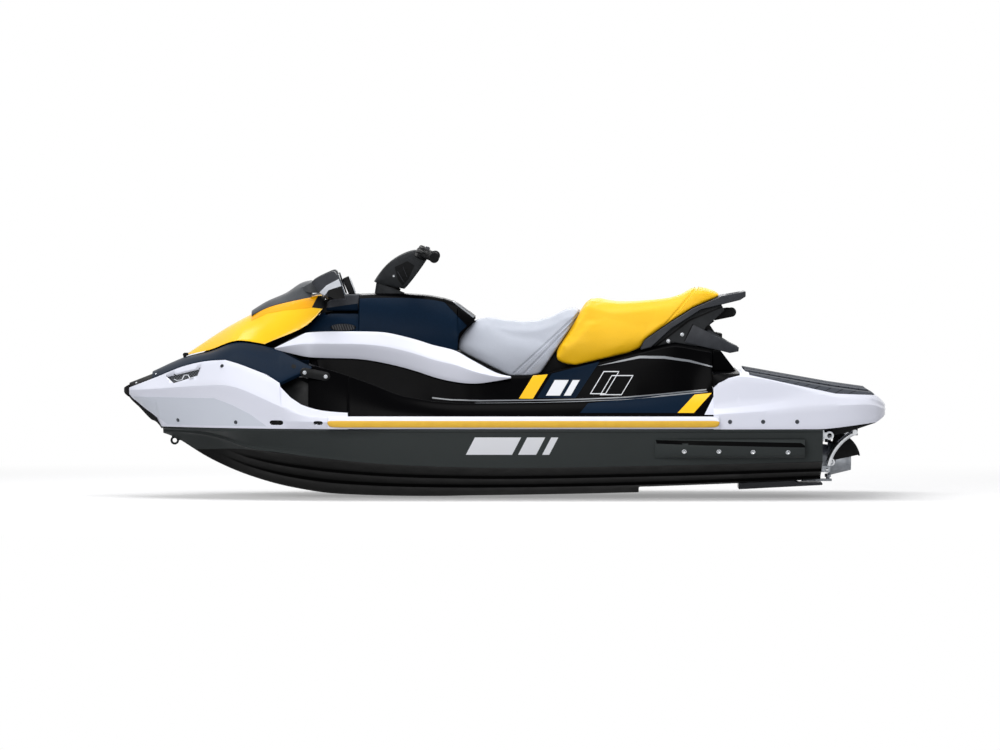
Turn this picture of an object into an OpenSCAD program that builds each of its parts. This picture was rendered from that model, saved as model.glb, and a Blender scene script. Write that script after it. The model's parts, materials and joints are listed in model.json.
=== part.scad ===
// Three-seat personal watercraft with a waterjet drive, afloat.
// Millimetres. +X to the bow, +Y to port, +Z up. Origin amidships on the waterline.
// The body lines are drawn on a 3145 by 1180 body, with heights from the keel,
// and are stretched to the overall sizes below.

/* [Overall size] */
// Length from the nose bumper to the stern platform
length_overall = 3145; // [2900:5:3400]
// Beam over the rub rails
beam_overall = 1180; // [1080:2:1280]
// Height of the bond line, where the deck sits on the hull, above the keel
bond_height = 292; // [280:1:320]
// Depth of the keel below the waterline, empty and at rest
draught = 256; // [180:1:280]

/* [Panels] */
// Thickness of the bow panels
panel_thickness = 22; // [14:1:26]
// Thickness of the hood shell
hood_thickness = 16; // [8:1:20]
// Gap left all round the hood
hood_gap = 7; // [6:0.5:9]
// Thickness of the foam mats
mat_thickness = 6; // [3:0.5:10]
// Depth of each bottom strake
strake_depth = 9; // [4:1:11]
// Width of a rub rail
rail_width = 22; // [16:1:26]
// Thickness of a sponson
sponson_width = 34; // [20:1:40]

/* [Jet drive] */
// Height of the pump and shaft axis above the keel
pump_axis = 158; // [150:1:162]
// Width of the jet tunnel
tunnel_width = 224; // [216:2:240]
// Outer radius of the pump housing
pump_radius = 80; // [74:1:82]
// Bore radius of the pump housing
pump_bore = 72; // [64:1:73]
// Gap between the impeller tips and the bore
impeller_gap = 5; // [5:0.5:8]
// Radius of the impeller hub
hub_radius = 28; // [20:1:34]
// Number of impeller blades
blade_count = 4; // [3:1:6]
// Radius of the drive shaft
shaft_radius = 14; // [10:1:15]
// Outlet bore radius of the fixed nozzle
nozzle_bore = 48; // [40:1:49]
// Inner radius of the reverse bucket
bucket_radius = 114; // [112:1:118]
// Steering range of the handlebar to each side, degrees
steer_range = 24; // [10:1:26]

/* [Fittings] */
// Hole radius of the bow, stern and tow eyes
eye_hole = 9; // [6:0.5:11]
// Thickness of the eye plates
eye_thickness = 12; // [8:1:16]
// Tube radius of the boarding step
step_tube = 11; // [9:0.5:12]
// Length of the boarding step arms along their bend
step_reach = 200; // [197:1:206]
// Lean of the steering axis aft of upright, degrees
steer_lean = 31; // [26:1:34]
// Radius of the steering stem
stem_radius = 20; // [14:1:24]
// Radius of the handlebar tube
bar_radius = 11; // [9:0.5:13]
// Radius of the hand grips
grip_radius = 17; // [14:0.5:19]
// Pin radius of the hood hinge
hinge_pin = 4; // [3:0.5:5]

/* [Hidden] */
$fn = 48;
drawn_length = 3145;
drawn_beam = 1180;
drawn_bond = 292;
running_gap = 0.3;
seat_gap = 0.6;
tunnel_roof = pump_axis + 98;
floor_height = 330;
engine_half = [310, 170];
engine_span = [70, 400];
pivot_x = -1344;
bucket_pivot = [-1356, 150];
bucket_wall = 6;
bucket_half = 104;
step_pivot = [-1334, 116];
step_half = 205;
step_bend = 200;
step_start = 82;
steer_base = [475, 841];
collar_top = 40;
collar_half = [46, 34];
pad_seat = collar_top + 6;
pad_bore = collar_half[0] - 2;
hinge_at = [1320, 586];
hinge_half = 12;
ear_width = 8;

// Body lines: half breadths and heights along the length, drawn from stern to bow
gunwale_y = [[-1309, 520], [-860, 555], [-400, 567], [0, 567], [300, 560], [600, 537],
    [800, 500], [1000, 432], [1150, 352], [1250, 277], [1330, 196], [1385, 112], [1409, 62]];
keel_z = [[-1309, 49], [-972, 31], [-314, 8], [343, 0], [672, 8], [878, 37], [1054, 86],
    [1223, 160], [1330, 228], [1371, 252], [1409, 262]];
chine_y = [[-1309, 452], [-800, 480], [0, 490], [400, 478], [772, 415], [1049, 300],
    [1179, 205], [1300, 105], [1409, 32]];
chine_z = [[-1309, 156], [-560, 140], [0, 132], [343, 140], [510, 148], [772, 173],
    [1049, 208], [1179, 250], [1300, 266], [1409, 271]];
strake_fade = [[-1309, 1], [850, 1], [1230, 0], [1409, 0]];
ledge_z = [[-860, 446], [-734, 442], [-565, 417], [-380, 409], [-105, 401], [166, 399],
    [302, 407], [343, 415], [438, 433], [508, 464], [602, 497], [771, 547], [800, 552]];
footwell_depth = [[-860, 0], [-770, 1], [690, 1], [800, 0]];
pedestal_foot = [[-860, 215], [-500, 235], [0, 240], [500, 240], [800, 245]];
pedestal_top = [[-860, 168], [-561, 182], [-200, 186], [0, 176], [191, 168], [600, 190],
    [800, 200]];
seat_line = [[-860, 612], [-700, 640], [-561, 606], [-110, 500], [-24, 500], [191, 606],
    [800, 606]];
fairing_low_y = [[638, 538], [800, 506], [1000, 438], [1150, 358], [1250, 285], [1330, 212],
    [1415, 135], [1485, 85], [1549, 42]];
fairing_low_z = [[638, 292], [1412, 292], [1433, 330], [1459, 350], [1485, 367], [1511, 390],
    [1536, 408], [1549, 424]];
fairing_swell_z = [[638, 318], [1000, 330], [1042, 352], [1118, 388], [1192, 412],
    [1265, 412], [1412, 405], [1480, 410], [1549, 432]];
fairing_crease_y = [[638, 548], [805, 522], [919, 490], [1042, 442], [1154, 385], [1227, 338],
    [1320, 275], [1437, 180], [1500, 118], [1549, 48]];
fairing_crease_z = [[638, 336], [805, 346], [967, 407], [1042, 440], [1140, 471], [1265, 464],
    [1400, 452], [1549, 440]];
fairing_top_y = [[638, 540], [805, 505], [915, 462], [919, 448], [1042, 392], [1154, 328],
    [1227, 282], [1320, 215], [1437, 130], [1500, 85], [1549, 40]];
fairing_top_z = [[638, 360], [723, 365], [805, 382], [886, 431], [915, 464], [919, 480],
    [1042, 539], [1154, 572], [1227, 566], [1320, 543], [1437, 495], [1549, 451]];
fairing_undercut = [[638, -3], [830, -3], [960, 16], [1400, 16], [1549, 0]];
panel_taper = [[638, 1], [1400, 1], [1549, 0.3]];
shoulder_tail_y = [[788, 432], [902, 445], [919, 448]];
shoulder_tail_z = [[788, 540], [902, 488], [919, 480]];
shoulder_top_y = [[788, 420], [886, 318], [943, 243], [1000, 225], [1113, 188], [1179, 150],
    [1260, 85], [1312, 40], [1332, 0.4], [1453, 0.4]];
shoulder_top_z = [[788, 546], [886, 590], [943, 618], [1000, 630], [1113, 646], [1179, 610],
    [1281, 586], [1317, 577], [1453, 517]];
hood_low_y = [[743, 205], [793, 215], [902, 222], [985, 222]];
hood_low_z = [[743, 784], [793, 722], [902, 668], [985, 640]];
hood_edge_y = [[743, 160], [793, 160], [974, 108], [1042, 82], [1132, 62], [1305, 22]];
hood_edge_z = [[743, 838], [771, 831], [974, 783], [1042, 748], [1132, 702], [1305, 592]];
hood_crown_z = [[743, 850], [793, 842], [974, 795], [1042, 757], [1132, 710], [1305, 594]];
hood_taper = [[743, 1], [1200, 1], [1305, 0.35]];
visor_crown_z = [[793, 896], [815, 906], [875, 853], [991, 804], [1042, 769]];
console_foot = [[117, 92], [191, 160], [420, 176], [610, 178], [830, 178]];
console_top_y = [[117, 60], [191, 90], [420, 105], [600, 125], [735, 130], [830, 120]];
console_top_z = [[117, 746], [191, 802], [222, 814], [275, 830], [350, 837], [417, 841],
    [535, 841], [594, 838], [600, 770], [735, 770], [830, 690]];
panel_low_z = [[-31, 492], [57, 477], [119, 470], [175, 474], [302, 501], [343, 517],
    [479, 553], [602, 573], [787, 579], [943, 612]];
panel_top_z = [[-31, 500], [18, 510], [84, 543], [175, 594], [197, 608], [302, 631],
    [343, 647], [438, 672], [479, 682], [594, 686], [709, 686], [812, 682], [943, 621]];
front_seat_z = [[-335, 781], [-302, 789], [-277, 777], [-207, 744], [-105, 719], [-2, 727],
    [84, 740], [122, 730], [156, 697], [180, 668]];
rear_seat_z = [[-902, 838], [-816, 862], [-775, 857], [-734, 828], [-651, 811], [-483, 801],
    [-364, 828]];
trim_top_z = [[-1001, 850], [-902, 832], [-783, 781], [-684, 719], [-582, 649], [-566, 616]];
trim_low_z = [[-1001, 828], [-977, 814], [-816, 776], [-692, 697], [-608, 620], [-566, 609]];
trim_y = [[-1001, 112], [-975, 140], [-902, 170], [-700, 182], [-566, 184]];
stern_y = [[-1572, 330], [-1560, 385], [-1530, 432], [-1450, 484], [-1309, 520], [-1100, 545],
    [-860, 557]];
stern_low_z = [[-1572, 350], [-1560, 338], [-1531, 318], [-1355, 296], [-1309, 292],
    [-860, 292]];
stern_edge_z = [[-1572, 383], [-1550, 400], [-1507, 418], [-1355, 430], [-968, 508],
    [-902, 493], [-860, 464]];
stern_top_z = [[-1572, 388], [-1550, 416], [-1507, 441], [-1355, 462], [-990, 526], [-968, 520],
    [-860, 520]];
stern_band_low = [[-1572, 368], [-1550, 378], [-1507, 392], [-1359, 388], [-1100, 368],
    [-860, 352]];
stern_band_high = [[-1572, 372], [-1550, 386], [-1507, 410], [-1359, 424], [-1274, 436],
    [-1100, 404], [-860, 378]];
rail_y = [[-884, 561], [-700, 564], [-400, 568], [0, 568], [300, 563], [500, 558], [638, 555],
    [721, 546]];

// Interpolation through a line: smooth and without overshoot, or straight
function slope(t, i) = (t[i + 1][1] - t[i][1]) / (t[i + 1][0] - t[i][0]);
function blended(a, b) = a * b <= 0 ? 0 : 2 * a * b / (a + b);
function tangent(t, i) =
    i == 0 ? slope(t, 0) :
    i == len(t) - 1 ? slope(t, i - 1) : blended(slope(t, i - 1), slope(t, i));
function span(t, x, i = 0) = i >= len(t) - 2 || x < t[i + 1][0] ? i : span(t, x, i + 1);
function curve(t, x) =
    let (i = span(t, x), h = t[i + 1][0] - t[i][0])
    let (u = max(0, min(1, (x - t[i][0]) / h)), v = 1 - u)
    t[i][1] * v * v * (1 + 2 * u) + t[i + 1][1] * u * u * (1 + 2 * v) +
    h * u * v * (v * tangent(t, i) - u * tangent(t, i + 1));
function mix(a, b, u) = a + (b - a) * u;

// Stations from each mark to the next, at most one pitch apart
function run(a, b, pitch) =
    let (n = max(1, ceil(abs(b - a) / pitch))) [for (j = [0:n - 1]) mix(a, b, j / n)];
function stations(marks, pitch) =
    concat([for (i = [0:len(marks) - 2]) each run(marks[i], marks[i + 1], pitch)],
        [marks[len(marks) - 1]]);

// From drawn lines to the real body
function fit_x(x) = x * length_overall / drawn_length;
function fit_y(y) = y * beam_overall / drawn_beam;
function fit_z(z) = z + bond_height - drawn_bond;
function topside(p) = [fit_x(p[0]), fit_y(p[1]), fit_z(p[2])];
function bottom_z(z) = z * bond_height / drawn_bond;
function underside(p) = [fit_x(p[0]), fit_y(p[1]), bottom_z(p[2])];
function both_sides(half) =
    concat(half, [for (i = [len(half) - 1:-1:0]) [-half[i][0], half[i][1]]]);
function over_centre(half) =
    concat(half, [for (i = [len(half) - 2:-1:0]) [-half[i][0], half[i][1]]]);
function section(x, chain) = [for (p = chain) [x, p[0], p[1]]];
function fitted(grid) = [for (row = grid) [for (p = row) topside(p)]];
function quad(a, b, c, d) = [[a, b, c], [a, c, d]];

// Solid between an outer and an inner grid of points
module slab(outer, inner) {
    n = len(outer);
    m = len(outer[0]);
    far = n * m;
    skin = [for (i = [0:n - 2]) for (k = [0:m - 2]) let (a = i * m + k)
        each quad(a, a + m, a + m + 1, a + 1)];
    lining = [for (i = [0:n - 2]) for (k = [0:m - 2]) let (a = far + i * m + k)
        each quad(a, a + 1, a + m + 1, a + m)];
    first = [for (k = [0:m - 2]) each quad(k, k + 1, far + k + 1, far + k)];
    last = [for (k = [0:m - 2]) let (a = far - m + k)
        each quad(a, far + a, far + a + 1, a + 1)];
    port = [for (i = [0:n - 2]) let (a = i * m)
        each quad(a + m, a, far + a, far + a + m)];
    starboard = [for (i = [0:n - 2]) let (a = i * m + m - 1)
        each quad(a, a + m, far + a + m, far + a)];
    polyhedron([for (row = outer) each row, for (row = inner) each row],
        concat(skin, lining, first, last, port, starboard), convexity = 8);
}

// Solid under an upward skin, or over a downward one, closed flat across its two edges
module moulding(grid, upward) {
    n = len(grid);
    m = len(grid[0]);
    skin = [for (i = [0:n - 2]) for (k = [0:m - 2]) let (a = i * m + k)
        each quad(a, a + m, a + m + 1, a + 1)];
    flat = [for (i = [0:n - 2]) let (a = i * m, b = a + m - 1)
        each quad(a, b, b + m, a + m)];
    first = [for (j = [0:m / 2 - 2]) each quad(j, j + 1, m - 2 - j, m - 1 - j)];
    last = [for (j = [0:m / 2 - 2]) let (a = (n - 1) * m)
        each quad(a + j, a + m - 1 - j, a + m - 2 - j, a + j + 1)];
    faces = concat(skin, flat, first, last);
    polyhedron([for (row = grid) each row],
        upward ? faces : [for (f = faces) [f[2], f[1], f[0]]], convexity = 8);
}

module afloat() translate([0, 0, -draught]) children();
module mirrored() {
    children();
    mirror([0, 1, 0]) children();
}
// Profile drawn in X and Z, given a thickness across the body
module across(half) rotate([90, 0, 0]) linear_extrude(2 * half, center = true) children();
module side_profile(points, half)
    across(fit_y(half)) polygon([for (p = points) [fit_x(p[0]), fit_z(p[1])]]);
module along_y(r, length) rotate([90, 0, 0]) cylinder(r = r, h = length, center = true);
// Round body about the pump axis; first coordinate is the radius, second runs aft to fore
module about_pump(points)
    translate([0, 0, pump_axis]) rotate([0, 90, 0]) rotate_extrude() polygon(points);

// Hull
function keel_at(x) = bottom_z(curve(keel_z, x));
function bottom_at(x, inset, u) =
    [mix(curve(chine_y, x) - inset, 12, u), mix(curve(chine_z, x) - 5, curve(keel_z, x), u)];
function strake_at(x, inset, u) =
    bottom_at(x, inset, u) - [0, strake_depth * curve(strake_fade, x)];
function hull_chain(x) =
    let (g = curve(gunwale_y, x), c = curve(chine_y, x), z = curve(chine_z, x))
    let (s = min(34, 0.16 * c))
    both_sides([[g, 292], [g, 284], [g - 10, 278], [c + 5, z + 12], [c, z],
        bottom_at(x, s, 0), bottom_at(x, s, 0.28), strake_at(x, s, 0.3),
        bottom_at(x, s, 0.46), bottom_at(x, s, 0.6), strake_at(x, s, 0.62),
        bottom_at(x, s, 0.78), bottom_at(x, s, 1)]);
hull_run = concat(run(-1309, -1235, 80), run(-1235, -620, 103), run(-620, 700, 110),
    stations([700, 1409], 55));
function hull_side_y(x, z) =
    let (g = curve(gunwale_y, x) - 10, c = curve(chine_y, x) + 5, low = curve(chine_z, x) + 12)
    mix(c, g, (z - low) / (278 - low));

module tunnel_space() {
    across(tunnel_width / 2) polygon([[fit_x(-1309) - 20, -60], [fit_x(-1309) - 20, tunnel_roof],
        [fit_x(-1050), tunnel_roof], [fit_x(-560), 40], [fit_x(-560), -60]]);
    translate([fit_x(-1000), 0, pump_axis]) rotate([0, 90, 0])
        cylinder(r = shaft_radius + 6, h = fit_x(700));
}
module engine_space(top, clear) {
    size = [fit_x(2 * engine_half[0]) + 2 * clear, 2 * engine_half[1] + 2 * clear];
    translate([fit_x(-20) - size[0] / 2, -size[1] / 2, engine_span[0]])
        cube([size[0], size[1], top - engine_span[0]]);
}

module hull_shell() color("#393c3c") difference() {
    union() {
        moulding([for (x = hull_run) [for (p = section(x, hull_chain(x))) underside(p)]], false);
        translate([fit_x(1362), 0, bottom_z(231)]) across(eye_thickness / 2) {
            circle(r = eye_hole + 9);
            translate([-24, 0]) square([36, 22]);
        }
    }
    translate([fit_x(1362), 0, bottom_z(231)]) along_y(eye_hole, 60);
    tunnel_space();
    engine_space(bond_height + 2, 8);
}

// Deck
function deck_y(x) =
    curve(gunwale_y, x) - (x > 635 ? panel_thickness - 2 + 0.06 * (x - 635) : 0);
function ledge_y(x) = deck_y(x) - 42 - 0.22 * max(0, curve(ledge_z, x) - 400);
function foot_z(x) =
    mix(curve(ledge_z, x) + 15, floor_height + 26, curve(footwell_depth, x));
function deck_half(x) =
    let (y = deck_y(x), l = ledge_y(x), z = curve(ledge_z, x), d = curve(footwell_depth, x))
    let (f = curve(pedestal_foot, x), w = curve(pedestal_top, x), top = lookup(x, seat_line))
    [[y, 292], [y, 344], [mix(y, l, 0.45), mix(344, z, 0.55)], [l + 6, z - 10], [l, z],
        [l - 55, mix(z + 3, z - 4, d)], [l - 66, mix(z + 6, floor_height + 26, d)],
        [l - 90, mix(z + 9, floor_height, d)], [f + 22, mix(z + 12, floor_height, d)],
        [f, foot_z(x)], [w + 7, top - 14], [w - 7, top]];
deck_run = concat(run(-860, -700, 45), run(-700, -561, 70), run(-561, -110, 76),
    run(-110, -24, 90), run(-24, 191, 36), run(191, 634, 50), [634], stations([637, 800], 30));
function pedestal_y(x, z) =
    let (a = max(-860, min(800, x)))
    let (low = foot_z(a), high = lookup(a, seat_line) - 14)
    let (u = max(0, min(1, (z - low) / (high - low))))
    mix(curve(pedestal_foot, a), curve(pedestal_top, a) + 7, u);

module deck() color("#17181a") difference() {
    moulding(fitted([for (x = deck_run) section(x, both_sides(deck_half(x)))]), true);
    translate([0, 0, bond_height - drawn_bond]) engine_space(engine_span[1] + 8, 8);
}

// Storage bin under the hood
function bin_half(x) =
    let (tail = x < 919, t = panel_thickness, u = 0.6)
    let (n = tail ? curve(shoulder_tail_y, x) : curve(fairing_top_y, x))
    let (z = tail ? curve(shoulder_tail_z, x) : curve(fairing_top_z, x))
    let (y = curve(fairing_low_y, x) - t - 8)
    [[y, 292], [y - 4, 330], [n - t - 30, z - 60],
        [mix(n, curve(shoulder_top_y, x), u) - 15, mix(z, curve(shoulder_top_z, x), u) - t - 25]];

module storage_bin() color("#1d1e21") difference() {
    moulding(fitted([for (x = stations([800, 1395], 60)) section(x, both_sides(bin_half(x)))]),
        true);
    translate([0, 0, fit_z(314)]) linear_extrude(400)
        polygon([for (p = [[850, -165], [1240, -92], [1240, 92], [850, 165]])
            [fit_x(p[0]), fit_y(p[1])]]);
}

// Bow panels, port side
function panel_at(x) = panel_thickness * curve(panel_taper, x);
function fairing_top(x) = [curve(fairing_top_y, x), curve(fairing_top_z, x)];
function fairing_rows(x) =
    let (c = curve(fairing_crease_y, x))
    [[curve(fairing_low_y, x), lookup(x, fairing_low_z)],
        [c - curve(fairing_undercut, x), curve(fairing_swell_z, x)],
        [c, curve(fairing_crease_z, x)], fairing_top(x)];
function fairing_lining(x) =
    let (r = fairing_rows(x), t = panel_at(x))
    [r[0] - [t, 0], r[1] - [t, 0], r[2] - [t, 0], r[3] - [0.8 * t, 0.6 * t]];
function shoulder_rows(x) =
    let (low = x < 919 ? [curve(shoulder_tail_y, x), curve(shoulder_tail_z, x)] : fairing_top(x))
    let (top = [curve(shoulder_top_y, x), curve(shoulder_top_z, x)])
    [low, mix(low, top, 0.5) + [0, 0.08 * (low[0] - top[0])], top];
function shoulder_lining(x) =
    let (r = shoulder_rows(x), t = panel_at(x))
    [r[0] - [0.8 * t, 0.6 * t], r[1] - [0.4 * t, 0.9 * t], r[2] - [0, t]];
fairing_run = stations([638, 788, 915, 919, 1312, 1332, 1412, 1433, 1453, 1459, 1485, 1511, 1536,
    1549], 60);
shoulder_run = stations([788, 915, 919, 1312, 1332, 1412, 1433, 1453], 60);

module bow_fairing() slab(fitted([for (x = fairing_run) section(x, fairing_rows(x))]),
    fitted([for (x = fairing_run) section(x, fairing_lining(x))]));
module bow_fairing_left() color("#e6e8f4") bow_fairing();
module bow_fairing_right() color("#e6e8f4") mirror([0, 1, 0]) bow_fairing();
module shoulder() slab(fitted([for (x = shoulder_run) section(x, shoulder_rows(x))]),
    fitted([for (x = shoulder_run) section(x, shoulder_lining(x))]));
module shoulder_left() color("#13212f") shoulder();
module shoulder_right() color("#13212f") mirror([0, 1, 0]) shoulder();

// Nose bumper: a cap over the beak, one under it, and the block that joins them
bumper_run = stations([1453, 1459, 1485, 1511, 1536, 1549], 50);
stem_run = stations([1412, 1433, 1453, 1459, 1485, 1511, 1536, 1549], 60);
function beak_rows(x) =
    let (p = fairing_top(x)) over_centre([p + [0, 0.5], [0.5 * p[0], p[1] + 16], [0, p[1] + 20]]);
function beak_lining(x) =
    let (p = fairing_top(x), t = panel_at(x))
    over_centre([p - [0.8 * t, 0.6 * t - 0.5], [0.5 * p[0], p[1] - 2], [0, p[1]]]);
function stem_rows(x) =
    let (y = curve(fairing_low_y, x), z = lookup(x, fairing_low_z))
    over_centre([[y, z - 1], [0.5 * y, z - 1], [0, z - 1]]);
stem_depth = [[1412, 10], [1433, 22], [1459, 34], [1485, 24], [1511, 17], [1549, 15]];
function stem_lining(x) =
    let (y = curve(fairing_low_y, x), z = lookup(x, fairing_low_z), d = lookup(x, stem_depth))
    over_centre([[y - 3, z - 0.8 * d], [0.5 * y, z - 0.95 * d], [0, z - d]]);
module nose_bumper() color("#141517") {
    slab(fitted([for (x = bumper_run) section(x, beak_rows(x))]),
        fitted([for (x = bumper_run) section(x, beak_lining(x))]));
    slab(fitted([for (x = stem_run) section(x, stem_rows(x))]),
        fitted([for (x = stem_run) section(x, stem_lining(x))]));
    translate([fit_x(1549), 0, 0]) hull() {
        translate([0, -fit_y(42), fit_z(412)]) cube([1, fit_y(84), 50]);
        translate([fit_x(14), -fit_y(30), fit_z(420)]) cube([1, fit_y(60), 36]);
        translate([fit_x(22.5), -fit_y(16), fit_z(432)]) cube([1, fit_y(32), 16]);
    }
}

// Hood with its hinge ears, and the visor and mirrors it carries
function hood_rows(x) =
    let (rear = x < 985)
    let (low = [rear ? curve(hood_low_y, x) : curve(shoulder_top_y, x) - hood_gap,
        rear ? curve(hood_low_z, x) : curve(shoulder_top_z, x) + hood_gap])
    let (edge = [curve(hood_edge_y, x), curve(hood_edge_z, x)])
    over_centre([low, mix(low, edge, 0.42) + [0.1 * (edge[1] - low[1]), 0], edge,
        [0, curve(hood_crown_z, x)]]);
function hood_lining(x) =
    let (r = hood_rows(x), t = hood_thickness * curve(hood_taper, x))
    over_centre([r[0] - [t, 0], r[1] - [0.75 * t, 0.65 * t], r[2] - [0.3 * t, 0.95 * t],
        r[3] - [0, t]]);
hood_run = stations([743, 793, 985, 1042, 1305], 58);
module hood() color("#ffc814") union() {
    slab(fitted([for (x = hood_run) section(x, hood_rows(x))]),
        fitted([for (x = hood_run) section(x, hood_lining(x))]));
    mirrored() translate([fit_x(hinge_at[0]), hinge_half + 1 + ear_width / 2, fit_z(hinge_at[1])]) {
        translate([0, -5, 0]) along_y(hinge_pin, 22);
        hull() {
            along_y(hinge_pin + 4, ear_width);
            translate([fit_x(-16), 0, 3]) cube([2, ear_width, 8], center = true);
        }
    }
}
module hinge_bracket() color("#2a2b2e") difference() {
    union() {
        translate([fit_x(hinge_at[0]), 0, fit_z(hinge_at[1])]) along_y(hinge_pin + 4, 2 * hinge_half);
        translate([fit_x(hinge_at[0]) - 6, -hinge_half, fit_z(500)])
            cube([12, 2 * hinge_half, hinge_at[1] - 500]);
    }
    translate([fit_x(hinge_at[0]), 0, fit_z(hinge_at[1])]) along_y(hinge_pin + running_gap, 40);
    translate([fit_x(hinge_at[0]) - 20, -30, fit_z(400)])
        cube([40, 60, mix(fairing_top(1320)[1], curve(shoulder_top_z, 1320), 0.6)
            - panel_thickness - 25 - 400 + seat_gap + running_gap]);
}

visor_run = stations([793, 985, 1042], 58);
function visor_rows(x) =
    let (y = curve(hood_edge_y, x), z = curve(hood_edge_z, x), top = curve(visor_crown_z, x))
    over_centre([[y, z + 4], [0.82 * y, mix(z, top, 0.7)], [0.5 * y, mix(z, top, 0.95)], [0, top]]);
function visor_lining(x) =
    let (y = curve(hood_edge_y, x), z = curve(hood_edge_z, x) + seat_gap)
    let (top = curve(hood_crown_z, x) + seat_gap)
    over_centre([[y, z], [0.82 * y, mix(z, top, 0.18)], [0.5 * y, mix(z, top, 0.5)], [0, top]]);
module visor() color("#3b3d42") union() {
    slab(fitted([for (x = visor_run) section(x, visor_rows(x))]),
        fitted([for (x = visor_run) section(x, visor_lining(x))]));
    mirrored() hull() {
        translate([fit_x(800), fit_y(120), fit_z(850)]) cube([fit_x(30), 10, 16]);
        translate([fit_x(742), fit_y(176), fit_z(844)]) cube([fit_x(50), 2, 44]);
    }
}
module mirror_housings() color("#d8dbe2") mirrored() translate([0, fit_y(176) + 2, 0]) hull() {
    translate([fit_x(784), 0, fit_z(886)]) cube([fit_x(9), 88, 10]);
    translate([fit_x(690), 0, fit_z(930)]) cube([fit_x(14), 110, 8]);
    translate([fit_x(652), 0, fit_z(818)]) cube([fit_x(14), 104, 8]);
    translate([fit_x(722), 0, fit_z(816)]) cube([fit_x(12), 94, 8]);
}
function mirror_face(z) = fit_x(mix(652, 690, (z - 826) / 112)) - seat_gap;
module mirror_glasses() color("#15181d") mirrored() translate([0, fit_y(176) + 12, 0]) hull() {
    translate([mirror_face(920) - 4, 0, fit_z(920)]) cube([4, 92, 4]);
    translate([mirror_face(836) - 4, 0, fit_z(836)]) cube([4, 86, 4]);
}

// Console, dash and display
function console_foot_z(x) = x < 188 ? mix(737, 676, (x - 117) / 69) : 606;
function console_rows(x) =
    let (w = curve(console_foot, x), y = curve(console_top_y, x), top = curve(console_top_z, x))
    let (low = console_foot_z(x))
    over_centre([[w, mix(low, top, 0.12)], [w - 3, mix(low, top, 0.36)],
        [mix(w, y, 0.45), mix(low, top, 0.75)], [y, mix(low, top, 0.95)], [0.8 * y, top],
        [0, top]]);
function console_base(x) =
    let (w = curve(console_foot, x), y = curve(console_top_y, x), low = console_foot_z(x))
    over_centre([[w, low], [0.95 * w, low], [0.85 * w, low], [0.7 * w, low], [0.5 * w, low],
        [0, low]]);
console_run = stations([117, 186, 191, 417, 535, 594, 600, 735, 830], 60);
module console() color("#13212f") slab(
    fitted([for (x = console_run) section(x, console_rows(x))]),
    fitted([for (x = console_run) section(x, console_base(x))]));
module dash() color("#3b3d42") side_profile([[600 + seat_gap, 770], [732, 770], [732, 800],
    [700, 826], [640, 838], [594 + seat_gap, 838]], 118);
module display() color("#101216") side_profile([[612, 838], [640, 838], [668, 900], [640, 912]],
    70);

// Side panels of the console, port side
side_clear = [[-31, 0.2], [0, 0.9], [191, 0.9], [250, 0.5], [680, 0.4], [715, 1.2], [750, 2.6],
    [775, 6.8], [943, 7.2]];
function side_y(x, z) = pedestal_y(x, z) + curve(side_clear, x);
function side_rows(x) =
    let (low = curve(panel_low_z, x), top = curve(panel_top_z, x), mid = mix(low, top, 0.55))
    let (swell = min(24, 0.3 * (top - low)))
    [[side_y(x, low) + 12, low],
        [mix(side_y(x, low), side_y(x, top), 0.55) + 12 + swell, mid],
        [side_y(x, top) + 10, top]];
function side_lining(x) =
    let (low = curve(panel_low_z, x), top = curve(panel_top_z, x), mid = mix(low, top, 0.55))
    [for (z = [low, mid, top]) [side_y(x, z) + seat_gap, z]];
side_run = concat(run(-31, -24, 9), run(-24, 191, 36), run(191, 634, 50), [634],
    stations([637, 800], 30), run(830, 943, 60), [943]);
module side_panel() slab(fitted([for (x = side_run) section(x, side_rows(x))]),
    fitted([for (x = side_run) section(x, side_lining(x))]));
module side_panel_left() color("#e6e8f4") side_panel();
module side_panel_right() color("#e6e8f4") mirror([0, 1, 0]) side_panel();

// Seats: sections lean aft, so each has a foot and a top station
function leaned(x_low, x_top, low, half) =
    [for (p = half) [mix(x_low, x_top, p[2]), p[0], mix(low[0], low[1], p[2])]];
function cushion(x_low, x_top, z_low, z_top, w_low, w_top) =
    let (half = [[w_low, 0.08], [w_low + 8, 0.2], [mix(w_low, w_top, 0.5) + 5, 0.62],
        [w_top, 0.88], [0.62 * w_top, 0.975], [0, 1]])
    [for (p = over_centre(half)) [mix(x_low, x_top, p[1]), p[0], mix(z_low, z_top, p[1])]];
function cushion_foot(x, z, w) =
    [for (y = [1, 0.97, 0.85, 0.6, 0.3, 0, -0.3, -0.6, -0.85, -0.97, -1]) [x, y * w, z]];
front_run = concat(run(-152, -110, 48), run(-110, -24, 50), run(-24, 165, 48), [165, 178, 189]);
front_lean = [[-152, -330], [165, 121], [178, 156], [189, 180]];
function front_top(x) = lookup(x, front_lean);
front_foot = [[-152, 180], [-80, 172], [40, 150], [120, 126], [189, 92]];
front_crown = [[-333, 158], [-180, 146], [-60, 128], [60, 104], [121, 84], [180, 62]];
module front_seat() color("#c2c7d1") slab(
    fitted([for (x = front_run) cushion(x, front_top(x), lookup(x, seat_line) + seat_gap,
        curve(front_seat_z, front_top(x)), curve(front_foot, x), curve(front_crown, front_top(x)))]),
    fitted([for (x = front_run)
        cushion_foot(x, lookup(x, seat_line) + seat_gap, curve(front_foot, x))]));
rear_run = concat(run(-880, -783, 50), run(-783, -684, 50), run(-684, -582, 52),
    run(-582, -566, 20), run(-566, -300, 60), [-300, -258, -224, -212]);
function rear_top(x) = mix(-902, -364, (x + 880) / 668);
rear_lift = [[-300, 0], [-258, 14], [-224, 36], [-212, 58]];
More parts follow.
